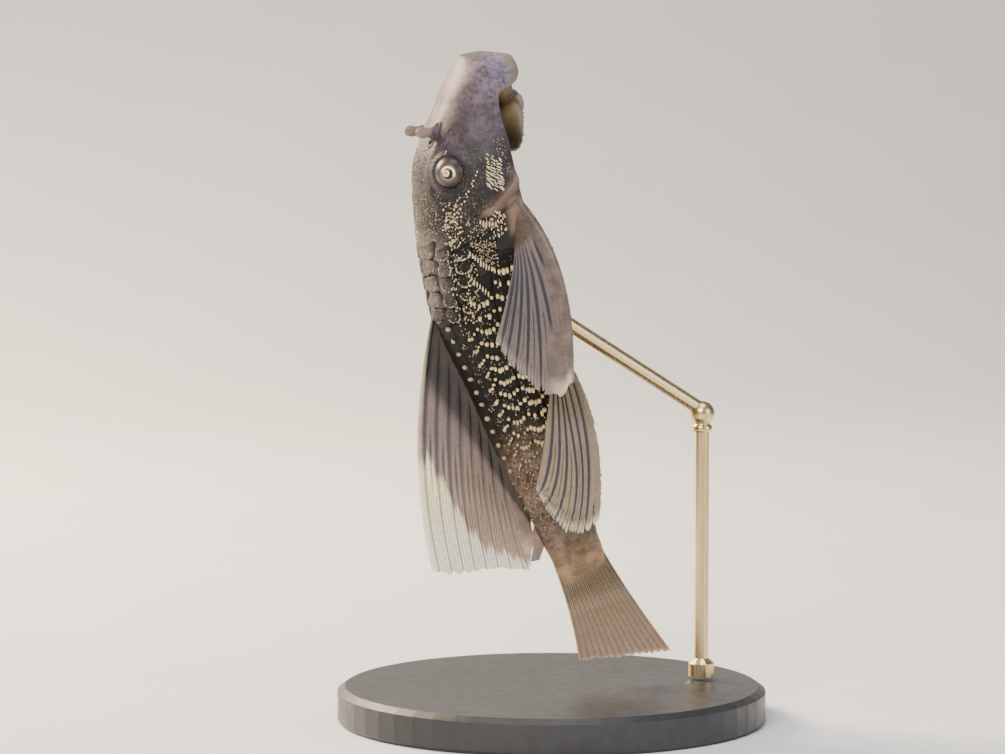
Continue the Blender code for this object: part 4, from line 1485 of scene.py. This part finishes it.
def makeEye(name, side, finish):
    # an eyeball; its material paints an iris ring and an orange-white reflection over the pupil
    centre, look = eyeCentre(side), eyeLook(side)
    along = unit(toTail(eye["at"]))
    down = unit(along - look * (along @ look))
    across = np.cross(look, down)
    polar = np.concatenate([np.linspace(0.01, 0.62, 46), np.linspace(0.64, math.pi - 0.05, 40)])
    turn = np.linspace(0, 2 * math.pi, 96, endpoint=False)[None, :, None]
    radius = eye["radius"] * (1 + eye["bulge"] * hump(polar, 0, 0.55)) - 0.02 * hump(polar, 0.5, 0.1)
    outer = down * np.cos(turn) + across * np.sin(turn)
    polar = polar[:, None, None]
    ring = look * np.cos(polar) + outer * np.sin(polar)
    verts, faces = ringShell(centre + ring * radius[:, None, None])
    made = meshObject(name, verts, faces, finish)
    outward(made)
    off = unit(verts - centre)
    flat = np.stack([off @ down, (off @ across) * side, off @ look], -1) * eye["radius"]
    setAttribute(made.data, "lens", "FLOAT_VECTOR", flat)
    return made


fittings = {
    "postX": 13.0,
    "postTop": 25.0,
    "collar": [(0.66, -0.95), (0.78, -0.90), (0.84, -0.80), (0.84, -0.45), (0.76, -0.36), (0.66, -0.32)],
    "ball": 1.05,
    "ballRise": 0.62,
    "foot": (-0.70, 0.0, 34.58),
    "footRadii": (0.82, 0.92, 0.92),
    "footAxes": [(0.95, 0, -0.30), (0, 1.0, 0), (0.30, 0, 0.95)],
}


def makeFittings(finish):
    # a turned ball with a collar where the stand's arm leaves its post, and a ball foot at the belly
    around, ball = 40, fittings["ball"]
    profile = list(fittings["collar"])
    for polar in np.linspace(math.radians(142), 0.06, 22):
        profile.append((ball * math.sin(polar), fittings["ballRise"] + ball * math.cos(polar)))
    turn = np.linspace(0, 2 * math.pi, around, endpoint=False)
    rings = []
    for r, h in profile:
        x, z = fittings["postX"] + r * np.cos(turn), np.full(around, fittings["postTop"] + h)
        rings.append(np.stack([x, r * np.sin(turn), z], -1))
    foot = blob(np.array(fittings["foot"]), fittings["footRadii"], fittings["footAxes"], 24)
    made = meshObject("standFittings", *joined([ringShell(rings), foot]), finish)
    outward(made)
    return made


# materials: shared effects as groups, a Principled shader in each material

def group(name, inputs, outputs):
    tree = bpy.data.node_groups.new(name, "ShaderNodeTree")
    kinds = {"f": "NodeSocketFloat", "c": "NodeSocketColor", "v": "NodeSocketVector"}
    for label, kind in inputs:
        tree.interface.new_socket(name=label, in_out="INPUT", socket_type=kinds[kind])
    for label, kind in outputs:
        tree.interface.new_socket(name=label, in_out="OUTPUT", socket_type=kinds[kind])
    return tree, tree.nodes.new("NodeGroupInput").outputs, tree.nodes.new("NodeGroupOutput").inputs


class Nodes:
    # short ways to add the nodes of one tree
    def __init__(self, tree):
        self.tree = tree

    def add(self, kind):
        return self.tree.nodes.new("ShaderNode" + kind)

    def set(self, socket, value):
        if isinstance(value, bpy.types.NodeSocket):
            self.tree.links.new(value, socket)
        elif isinstance(value, (tuple, list)) and len(value) == 3 and socket.type == "RGBA":
            socket.default_value = (*value, 1.0)
        else:
            socket.default_value = value

    def attribute(self, name, output="Fac"):
        made = self.add("Attribute")
        made.attribute_name = name
        return made.outputs[output]

    def split(self, name):
        # red, green, blue and alpha of a colour attribute
        made, apart = self.add("Attribute"), self.add("SeparateColor")
        made.attribute_name = name
        self.set(apart.inputs[0], made.outputs["Color"])
        return [*apart.outputs, made.outputs["Alpha"]]

    def xyz(self, vector):
        made = self.add("SeparateXYZ")
        self.set(made.inputs[0], vector)
        return made.outputs

    def math(self, kind, a, b=0.0, c=0.0, clamp=False):
        made = self.add("Math")
        made.operation, made.use_clamp = kind, clamp
        for socket, value in zip(made.inputs, (a, b, c)):
            self.set(socket, value)
        return made.outputs[0]

    def times(self, a, b):
        return self.math("MULTIPLY", a, b)

    def plus(self, a, b):
        return self.math("ADD", a, b)

    def less(self, a, b):
        # kept between 0 and 1
        return self.math("SUBTRACT", a, b, clamp=True)

    def away(self, x, y):
        return self.math("SQRT", self.plus(self.times(x, x), self.times(y, y)))

    def mix(self, share, a, b, kind="MIX"):
        made = self.add("Mix")
        made.data_type, made.blend_type = "RGBA", kind
        made.clamp_factor = True
        for index, value in ((0, share), (6, a), (7, b)):
            self.set(made.inputs[index], value)
        return made.outputs[2]

    def shaded(self, colour, value):
        # a colour made lighter or darker by a plain number
        grey = self.mix(1.0, (1, 1, 1), value, "MULTIPLY")
        return self.mix(1.0, colour, grey, "MULTIPLY")

    def remap(self, value, low, high, toLow=0.0, toHigh=1.0):
        made = self.add("MapRange")
        made.interpolation_type = "SMOOTHSTEP"
        for socket, given in zip(made.inputs, (value, low, high, toLow, toHigh)):
            self.set(socket, given)
        return made.outputs[0]

    def noise(self, where, scale, detail=3.0, rough=0.5, warp=0.0):
        made = self.add("TexNoise")
        names = ("Vector", "Scale", "Detail", "Roughness", "Distortion")
        for name, value in zip(names, (where, scale, detail, rough, warp)):
            self.set(made.inputs[name], value)
        return made.outputs[0]

    def cells(self, where, scale):
        made = self.add("TexVoronoi")
        self.set(made.inputs["Vector"], where)
        self.set(made.inputs["Scale"], scale)
        return made.outputs["Distance"]

    def bump(self, height, distance, strength=1.0):
        made = self.add("Bump")
        for name, value in (("Height", height), ("Distance", distance), ("Strength", strength)):
            self.set(made.inputs[name], value)
        return made.outputs[0]

    def coord(self):
        return self.add("TexCoord").outputs["Object"]

    def use(self, tree, **inputs):
        made = self.add("Group")
        made.node_tree = tree
        for name, value in inputs.items():
            self.set(made.inputs[name], value)
        return made.outputs


# short words for the sockets of the main shader
shaderInputs = {
    "rough": "Roughness",
    "specular": "Specular IOR Level",
    "coat": "Coat Weight",
    "coatRough": "Coat Roughness",
    "coatIor": "Coat IOR",
    "flesh": "Subsurface Weight",
    "fleshScale": "Subsurface Scale",
    "fleshRadius": "Subsurface Radius",
    "metal": "Metallic",
    "colour": "Base Color",
    "normal": "Normal",
}


def fill(n, shader, **values):
    for word, value in values.items():
        n.set(shader.inputs[shaderInputs[word]], value)


def material(name, **values):
    made = bpy.data.materials.new(name)
    made.use_nodes = True
    shader = made.node_tree.nodes["Principled BSDF"]
    n = Nodes(made.node_tree)
    fill(n, shader, **values)
    return made, n, shader


colours = {
    "charcoal": (0.0060, 0.0055, 0.0047),
    "head": (0.0180, 0.0126, 0.0152),
    "snout": (0.114, 0.080, 0.098),
    "nape": (0.112, 0.091, 0.082),
    "brown": (0.172, 0.118, 0.082),
    "belly": (0.230, 0.180, 0.150),
    # dark: the pores and the seams of plates and fin rays, and painted shade in pits, grooves, the mouth and
    # on the rays' flanks
    "dark": (0.006, 0.005, 0.005),
    "lip": (0.160, 0.100, 0.090),
    "knob": (0.215, 0.154, 0.116),
    "lobe": (0.188, 0.154, 0.232),
    # painted shade in the hollow under the snout's lip, lighter olive at its top
    "recess": (0.045, 0.032, 0.018),
    "recessTop": (0.190, 0.135, 0.062),
    "fold": (0.235, 0.150, 0.105),
    "finRoot": (0.092, 0.060, 0.043),
    "rootGold": (0.370, 0.235, 0.135),
    "tooth": (0.62, 0.40, 0.20),
    "odontode": (0.70, 0.48, 0.17),
    # the tips: partly their own colour, partly a painted glint
    "odontodeTip": (0.97, 0.92, 0.68),
    "ray": (0.188, 0.140, 0.084),
    "rayMauve": (0.160, 0.122, 0.108),
    "rayDark": (0.050, 0.042, 0.045),
    "membrane": (0.010, 0.013, 0.027),
    "membraneBrown": (0.070, 0.048, 0.033),
    "cream": (1.0, 0.93, 0.60),
    "creamLow": (1.0, 0.98, 0.86),
    "creamWeb": (0.34, 0.29, 0.18),
    "tip": (0.74, 0.66, 0.50),
    "finFlesh": (0.138, 0.096, 0.082),
    "finGold": (0.150, 0.098, 0.056),
    "papilla": (0.46, 0.36, 0.33),
    "toothRoot": (0.75, 0.62, 0.42),
    "iris": (0.018, 0.013, 0.011),
    "irisLight": (0.054, 0.038, 0.034),
    "irisStreak": (0.100, 0.070, 0.068),
    "irisRim": (0.018, 0.014, 0.013),
    "ring": (1.0, 0.92, 0.72),
    "ringRim": (0.86, 0.44, 0.12),
    "halo": (0.15, 0.085, 0.085),
    "pupil": (0.002, 0.002, 0.003),
    # a painted reflection over the eye's pupil
    "reflectionGold": (0.80, 0.28, 0.08),
    "reflectionRim": (1.0, 0.84, 0.60),
    "stand": (0.016, 0.016, 0.018),
    "standLight": (0.026, 0.026, 0.029),
    "brass": (0.60, 0.44, 0.22),
    "brassLight": (0.78, 0.60, 0.33),
    "floor": (0.78, 0.78, 0.79),
    "floorLight": (0.80, 0.80, 0.81),
}


def mottleGroup():
    # body colour from the markings, with fine blotches and specks
    inputs = [("Pale", "f"), ("Brown", "f"), ("Under", "f"), ("Light", "f")]
    tree, given, out = group("mottle", inputs, [("Colour", "c"), ("Height", "f")])
    n = Nodes(tree)
    where = n.coord()
    x, _, z = n.xyz(where)
    broad = n.noise(where, 420.0, 4.0, 0.55, 0.4)
    fine = n.noise(where, 2600.0, 3.0, 0.6)
    headward = n.remap(n.plus(z, n.times(broad, 0.004)), 0.0400, 0.0475)
    base = n.mix(headward, colours["charcoal"], colours["head"])
    base = n.mix(given["Light"], base, colours["nape"])
    base = n.mix(given["Brown"], base, colours["brown"])
    base = n.mix(given["Pale"], base, n.mix(n.remap(x, -0.0070, -0.0042), colours["snout"], colours["lobe"]))
    base = n.mix(given["Under"], base, colours["belly"])
    # the belly is less mottled: dark and light ends of each pattern, and how the belly moves them
    for pattern, low, high, dark, darkMove, light, lightMove in (
        (broad, 0.35, 0.68, 0.58, 0.22, 1.30, -0.16),
        (fine, 0.30, 0.72, 0.60, 0.26, 1.42, -0.28),
    ):
        dark = n.math("MULTIPLY_ADD", given["Under"], darkMove, dark)
        light = n.math("MULTIPLY_ADD", given["Under"], lightMove, light)
        base = n.shaded(base, n.remap(pattern, low, high, dark, light))
    pores = n.remap(n.cells(where, 900.0), 0.06, 0.16, 1.0, 0.0)
    pores = n.times(pores, n.remap(n.noise(where, 330.0, 1.0), 0.52, 0.60))
    tree.links.new(n.mix(n.times(pores, 0.7), base, colours["dark"]), out["Colour"])
    height = n.math("SUBTRACT", n.plus(n.times(broad, 0.4), n.times(fine, 0.35)), n.times(pores, 0.5))
    tree.links.new(height, out["Height"])
    return tree


def patchGroup():
    # light and dark patches of fleshy fin roots
    tree, given, out = group("patches", [("Colour", "c")], [("Colour", "c")])
    n = Nodes(tree)
    patchy = n.remap(n.noise(n.coord(), 1000.0, 3.0, 0.6), 0.32, 0.68, 0.60, 1.28)
    tree.links.new(n.shaded(given["Colour"], patchy), out["Colour"])
    return tree


def mottled(n, mottle):
    # the body's colour and height from the markings, then the markings
    pale, brown, under, light = n.split("marks")
    base = n.use(mottle, Pale=pale, Brown=brown, Under=under, Light=light)
    return base["Colour"], base["Height"], pale, brown, under


def skinMaterial(mottle, patches):
    made, n, shader = material(
        "skin", rough=0.55, specular=0.32, coat=0.06, coatRough=0.28,
        flesh=0.12, fleshScale=0.0005, fleshRadius=(1.0, 0.55, 0.4),
    )
    colour, relief, pale, _, under = mottled(n, mottle)
    where, lip = n.coord(), n.attribute("lip")
    root = n.mix(n.attribute("far"), colours["finRoot"], colours["finFlesh"])
    # painted shade for the hollow under the snout's lip, lighter olive towards the top
    hollow = n.mix(n.remap(n.xyz(where)[2], 0.0490, 0.0522), colours["recess"], colours["recessTop"])
    # each layer lies over the ones before it
    for name, strength, layer in (
        ("knob", 1.0, colours["knob"]),
        ("warm", 0.75, colours["fold"]),
        ("base", 1.0, n.use(patches, Colour=root)["Colour"]),
        ("rootGold", 0.9, n.use(patches, Colour=colours["rootGold"])["Colour"]),
        ("recess", 0.95, hollow),
        ("lip", 0.8, colours["lip"]),
        # painted shade in the pits, the grooves, below the eye and inside the mouth
        ("deep", 0.9, colours["dark"]),
    ):
        colour = n.mix(n.times(n.attribute(name), strength), colour, layer)
    grain = n.times(n.cells(where, 5200.0), -0.9)
    grainOn = n.less(1.0, n.math("MAXIMUM", pale, n.math("MAXIMUM", under, lip)))
    height = n.plus(relief, n.times(grain, grainOn))
    fill(n, shader, colour=colour, normal=n.bump(height, 0.000055, 0.8))
    return made


def plateMaterial(mottle):
    made, n, shader = material("plate", rough=0.60, specular=0.20, flesh=0.05, fleshScale=0.0004)
    colour, relief = mottled(n, mottle)[:2]
    low = n.less(1.0, n.attribute("raised"))
    height = n.plus(relief, n.times(n.cells(n.coord(), 6200.0), -0.6))
    colour = n.mix(n.times(low, 0.8), colour, colours["dark"])
    fill(n, shader, colour=colour, normal=n.bump(height, 0.00003, 0.8))
    return made


def odontodeMaterial(mottle):
    made, n, shader = material(
        "odontode", rough=0.22, specular=0.7, coat=0.9, coatRough=0.06, flesh=0.15, fleshScale=0.0003,
    )
    root, _, _, brown, _ = mottled(n, mottle)
    height = n.attribute("height")
    # paler towards the tip: partly the odontodes' own colour, partly a painted glint
    bright = n.mix(n.times(height, 0.7), colours["odontode"], colours["odontodeTip"])
    bright = n.mix(brown, bright, n.mix(0.5, bright, colours["brown"]))
    share = n.math("MULTIPLY", n.attribute("shade"), n.remap(height, 0.0, 0.35, 0.35, 1.0), clamp=True)
    fill(n, shader, colour=n.mix(share, root, bright))
    return made


def finMaterial(patches):
    made, n, shader = material(
        "fin", rough=0.48, coat=0.06, coatRough=0.2,
        flesh=0.2, fleshScale=0.0004, fleshRadius=(1.0, 0.6, 0.35),
    )
    ray, cream, tips, flesh = n.split("fin")
    length, share = n.xyz(n.attribute("ray", "Vector"))[1:]
    where = n.coord()
    broad, fine = n.noise(where, 380.0, 3.0, 0.5), n.noise(where, 3400.0, 2.0, 0.6)
    # rays, with a seam between one segment and the next
    rayColour = n.mix(n.attribute("tan"), colours["rayMauve"], colours["ray"])
    rayColour = n.mix(n.attribute("tone"), colours["rayDark"], rayColour)
    rayColour = n.mix(n.remap(broad, 0.35, 0.7, 0.0, 0.35), rayColour, colours["finFlesh"])
    # painted shade: each ray darker towards its flanks, which makes it look round
    rayColour = n.mix(n.remap(ray, 0.55, 0.98, 0.35, 0.0), rayColour, n.mix(0.6, rayColour, colours["dark"]))
    wave = n.plus(n.times(length, 1 / finSizes["segment"]), n.times(n.noise(where, 900.0, 1.0), 3.0))
    joint = n.math("ABSOLUTE", n.math("SUBTRACT", n.math("FRACT", wave), 0.5))
    seam = n.times(n.remap(joint, 0.34, 0.49), n.remap(ray, 0.2, 0.6))
    seam = n.times(seam, n.remap(share, 0.2, 0.5, 0.25, 1.0))
    # the web between them, and the fleshy root
    web = n.mix(n.attribute("blue"), colours["membraneBrown"], colours["membrane"])
    colour = n.mix(n.remap(ray, 0.08, 0.60), web, rayColour)
    root = n.mix(n.remap(length, 1.2, 6.0), colours["finRoot"], colours["finFlesh"])
    root = n.mix(n.attribute("gold"), root, colours["finGold"])
    colour = n.mix(n.times(flesh, 0.9), colour, n.use(patches, Colour=root)["Colour"])
    colour = n.shaded(colour, n.attribute("light"))
    # cream edges and pale tips
    pale = n.mix(n.remap(share, 0.62, 0.95), colours["cream"], colours["creamLow"])
    pale = n.mix(n.remap(ray, 0.05, 0.60, 0.15, 1.0), colours["creamWeb"], pale)
    colour = n.mix(cream, colour, pale)
    colour = n.mix(n.times(tips, n.remap(ray, 0.0, 0.6, 0.35, 1.0)), colour, colours["tip"])
    colour = n.mix(n.times(seam, 0.30), colour, n.mix(0.5, colour, colours["dark"]))
    colour = n.shaded(colour, n.remap(fine, 0.3, 0.72, 0.86, 1.06))
    height = n.plus(n.times(seam, -0.6), n.times(fine, 0.35))
    fill(n, shader, colour=colour, normal=n.bump(height, 0.00005, 0.8))
    return made


def eyeMaterial():
    made, n, shader = material("eye", rough=0.50, specular=0.3, coat=0.35, coatRough=0.10, coatIor=1.33)
    down, across, out = n.xyz(n.attribute("lens", "Vector"))
    radius = n.away(down, across)  # the disc as seen along the eye's axis
    streak = n.noise(n.times(n.math("ARCTAN2", across, down), 5.0), 3.0, 4.0, 0.6)
    blotch = n.noise(n.coord(), 1500.0, 4.0, 0.6)
    iris = n.mix(n.remap(blotch, 0.35, 0.66), colours["iris"], colours["irisLight"])
    iris = n.mix(n.remap(streak, 0.52, 0.70, 0.0, 0.35), iris, colours["irisStreak"])
    iris = n.mix(n.remap(radius, 0.98, 1.36), iris, colours["irisRim"])
    # the ring is open below and towards the back
    low, high = eye["pupil"], eye["ring"]
    ring = n.times(n.remap(radius, low, low + 0.04), n.remap(radius, high + 0.03, high - 0.03))
    lit = n.remap(n.plus(n.times(down, -0.84), n.times(across, 0.54)), -0.12, 0.04, 0.16, 1.0)
    middle = n.remap(n.math("ABSOLUTE", n.math("SUBTRACT", radius, (low + high) / 2)), 0.03, 0.10)
    iris = n.mix(n.times(ring, lit), iris, n.mix(middle, colours["ring"], colours["ringRim"]))
    halo = n.times(n.remap(radius, 0.62, 0.66), n.remap(radius, 0.90, 0.68))
    iris = n.mix(n.times(halo, 0.5), iris, colours["halo"])
    colour = n.mix(n.remap(radius, low + 0.02, low - 0.01), iris, colours["pupil"])
    # a painted orange-white reflection over the pupil, gold in the middle and pale at its rim
    lobe = n.away(n.plus(down, 0.06), n.plus(across, 0.12))
    gold = n.mix(n.remap(lobe, 0.12, 0.23), colours["reflectionGold"], colours["reflectionRim"])
    colour = n.mix(n.times(n.remap(lobe, 0.29, 0.26), n.remap(out, 0.0, 0.1)), colour, gold)
    fill(n, shader, colour=colour)
    return made


def lipMaterial():
    made, n, shader = material("papilla", rough=0.4, flesh=0.25, fleshScale=0.0004, coat=0.3, coatRough=0.15)
    spot = n.remap(n.noise(n.coord(), 1400.0, 3.0), 0.3, 0.7)
    fill(n, shader, colour=n.mix(spot, colours["lip"], colours["papilla"]))
    return made


def toothMaterial():
    made, n, shader = material("tooth", rough=0.25, coat=0.4, coatRough=0.1)
    tip = n.remap(n.attribute("height"), 0.2, 0.9)
    fill(n, shader, colour=n.mix(tip, colours["toothRoot"], colours["tooth"]))
    return made


def darkMaterial():
    made, n, shader = material("standDark", coat=0.15, coatRough=0.3)
    grain = n.noise(n.coord(), 900.0, 4.0, 0.6)
    colour = n.mix(n.remap(grain, 0.3, 0.7), colours["stand"], colours["standLight"])
    rough = n.remap(grain, 0.25, 0.75, 0.38, 0.52)
    fill(n, shader, colour=colour, rough=rough, normal=n.bump(grain, 0.00003, 0.4))
    return made


def metalMaterial():
    # fine lines that run up the post
    made, n, shader = material("standMetal", metal=1.0)
    x, y, z = n.xyz(n.coord())
    stretch = n.add("CombineXYZ")
    for socket, value in zip(stretch.inputs, (x, y, n.times(z, 0.04))):
        n.set(socket, value)
    grain = n.noise(stretch.outputs[0], 9000.0, 3.0, 0.6)
    colour = n.mix(n.remap(grain, 0.3, 0.7), colours["brass"], colours["brassLight"])
    fill(n, shader, colour=colour, rough=n.remap(grain, 0.25, 0.75, 0.24, 0.36))
    return made


def floorMaterial():
    made, n, shader = material("floor", rough=0.6, specular=0.2)
    grain = n.remap(n.noise(n.coord(), 40.0, 3.0), 0.3, 0.7)
    fill(n, shader, colour=n.mix(grain, colours["floor"], colours["floorLight"]))
    return made


# everything is made and tied to the frame

def adopt(made, nodes):
    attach(made, "root")
    if nodes:
        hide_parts(*nodes)
    print(made.name, sum(len(p.vertices) - 2 for p in made.data.polygons), "triangles", flush=True)


def adoptPairs(eyeFinish, finFinish):
    for label, side in sides.items():
        end = label.capitalize()
        adopt(makeEye("eye" + end, side, eyeFinish), ["eye_" + label])
        for kind, curves in (("pectoral", pectoralCurves), ("pelvic", pelvicCurves)):
            made = makeFin(kind + "Fin" + end, kind, curves(side), finFinish)
            adopt(made, [kind + "_fin_" + label])


def adoptTufts(odontodeFinish, lipFinish, toothFinish):
    tree = scatterTree()
    bead = tuftShape("bead", [(0.0, 0.75), (0.35, 1.0), (0.75, 0.62)], 6, 0.1)
    thorn = tuftShape("thorn", [(0.0, 1.0), (0.3, 0.92), (0.7, 0.6), (0.93, 0.3)], 7, 0.4)
    knob = tuftShape("knob", [(-0.3, 0.9), (0.3, 1.0), (0.75, 0.7), (0.97, 0.2)], 7, 0.0)
    adopt(trunkSpots().grow("odontodes", bead, tree, odontodeFinish, 0.12, 1), [])
    adopt(headSpots().grow("headOdontodes", bead, tree, odontodeFinish, 0.12, 2), [])
    adopt(bristleSpots().grow("bristles", thorn, tree, odontodeFinish, 0.10, 3), [])
    adopt(finSpineSpots().grow("finOdontodes", thorn, tree, odontodeFinish, 0.15, 4), [])
    adopt(discSpots().grow("papillae", knob, tree, lipFinish, 0.15, 5), [])
    adopt(toothSpots().grow("teeth", thorn, tree, toothFinish, 0.05, 6), [])
    for tuft in (bead, thorn, knob):
        bpy.data.objects.remove(tuft)


def build():
    mottle, patches = mottleGroup(), patchGroup()
    skinFinish, plateFinish = skinMaterial(mottle, patches), plateMaterial(mottle)
    odontodeFinish, finFinish = odontodeMaterial(mottle), finMaterial(patches)
    eyeFinish, lipFinish, toothFinish = eyeMaterial(), lipMaterial(), toothMaterial()
    skinNodes = ["head", "trunk", "tail", "mouth_disc", "barbel_left", "barbel_right",
                 "nostril_flap_left", "nostril_flap_right"]
    adopt(makeSkin(skinFinish), skinNodes)
    adopt(makePlates(plateFinish), [])
    adoptPairs(eyeFinish, finFinish)
    single = {"dorsal": dorsalCurves, "adipose": adiposeCurves, "caudal": caudalCurves, "anal": analCurves}
    for kind, curves in single.items():
        adopt(makeFin(kind + "Fin", kind, curves, finFinish), [kind + "_fin"])
    print("skin, plates, eyes and fins made", flush=True)
    adoptTufts(odontodeFinish, lipFinish, toothFinish)
    jaws = meshObject("jaws", *jawBars(), lipFinish)
    outward(jaws)
    adopt(jaws, [])
    dark, metal = darkMaterial(), metalMaterial()
    adopt(makeFittings(metal), [])
    for name, finish in (("stand_base", dark), ("stand_post", metal), ("stand_arm", metal)):
        dress(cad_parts[name].data, finish)
    print("pieces made", flush=True)


stageSizes = {
    "middle": (-4.2, 0.0, 29.0),
    "distance": 350.0,
    "azimuth": -12.0,
    "elevation": 5.0,
    "frameWidth": 83.75,
    "sensor": 36.0,
    "floorHalf": 900.0,
    "floorBack": 260.0,  # where the floor starts to curve up
    "floorCurve": 240.0,
}


def setOff(made, azimuth, elevation, distance):
    # puts a light or a camera round the middle, turned towards it
    turn, rise = math.radians(azimuth), math.radians(elevation)
    way = Vector((math.sin(turn) * math.cos(rise), -math.cos(turn) * math.cos(rise), math.sin(rise)))
    made.location = (Vector(stageSizes["middle"]) + way * distance) * mm
    made.rotation_euler = way.to_track_quat("Z", "Y").to_euler()
    bpy.context.scene.collection.objects.link(made)


def areaLight(name, azimuth, elevation, distance, size, power, colour):
    data = bpy.data.lights.new(name, "AREA")
    data.shape, data.size, data.energy, data.color = "DISK", size * mm, power, colour
    made = bpy.data.objects.new(name, data)
    setOff(made, azimuth, elevation, distance)
    return made


def makeFloor():
    # a pale floor that curves up behind
    half, back, curve = stageSizes["floorHalf"], stageSizes["floorBack"], stageSizes["floorCurve"]
    profile = [(-half, 0.0), (back, 0.0)]
    for t in np.linspace(0.05, math.pi / 2, 24):
        profile.append((back + curve * math.sin(t), curve - curve * math.cos(t)))
    profile.append((back + curve, half))
    verts = [(x, y, z - 0.02) for y, z in profile for x in (-half, 0.0, half)]
    faces = []
    for i in range(len(profile) - 1):
        for j in (i * 3, i * 3 + 1):
            faces.append((j, j + 1, j + 4, j + 3))
    return meshObject("floor", verts, faces, floorMaterial())


def makeStage():
    makeFloor()
    lights = [
        areaLight("key", -32, 36, 420, 230, 1.75, (1.0, 0.98, 0.95)),
        areaLight("fill", 46, 18, 480, 320, 0.9, (0.93, 0.95, 1.0)),
        areaLight("rim", -140, 30, 360, 160, 4.2, (1.0, 0.80, 0.54)),
        areaLight("top", 20, 82, 420, 260, 0.9, (0.95, 0.97, 1.0)),
    ]
    world = bpy.data.worlds.new("studio")
    bpy.context.scene.world = world
    world.use_nodes = True
    sky = world.node_tree.nodes["Background"].inputs
    sky[0].default_value, sky[1].default_value = (0.80, 0.84, 0.90, 1.0), 0.22
    data = bpy.data.cameras.new("camera")
    camera = bpy.data.objects.new("camera", data)
    distance = stageSizes["distance"]
    setOff(camera, stageSizes["azimuth"], stageSizes["elevation"], distance)
    data.sensor_width = stageSizes["sensor"]
    data.lens = stageSizes["sensor"] * distance / stageSizes["frameWidth"]
    data.clip_start, data.clip_end = 0.01, 10.0
    bpy.context.scene.camera = camera
    print("stage made", flush=True)


build()
makeStage()
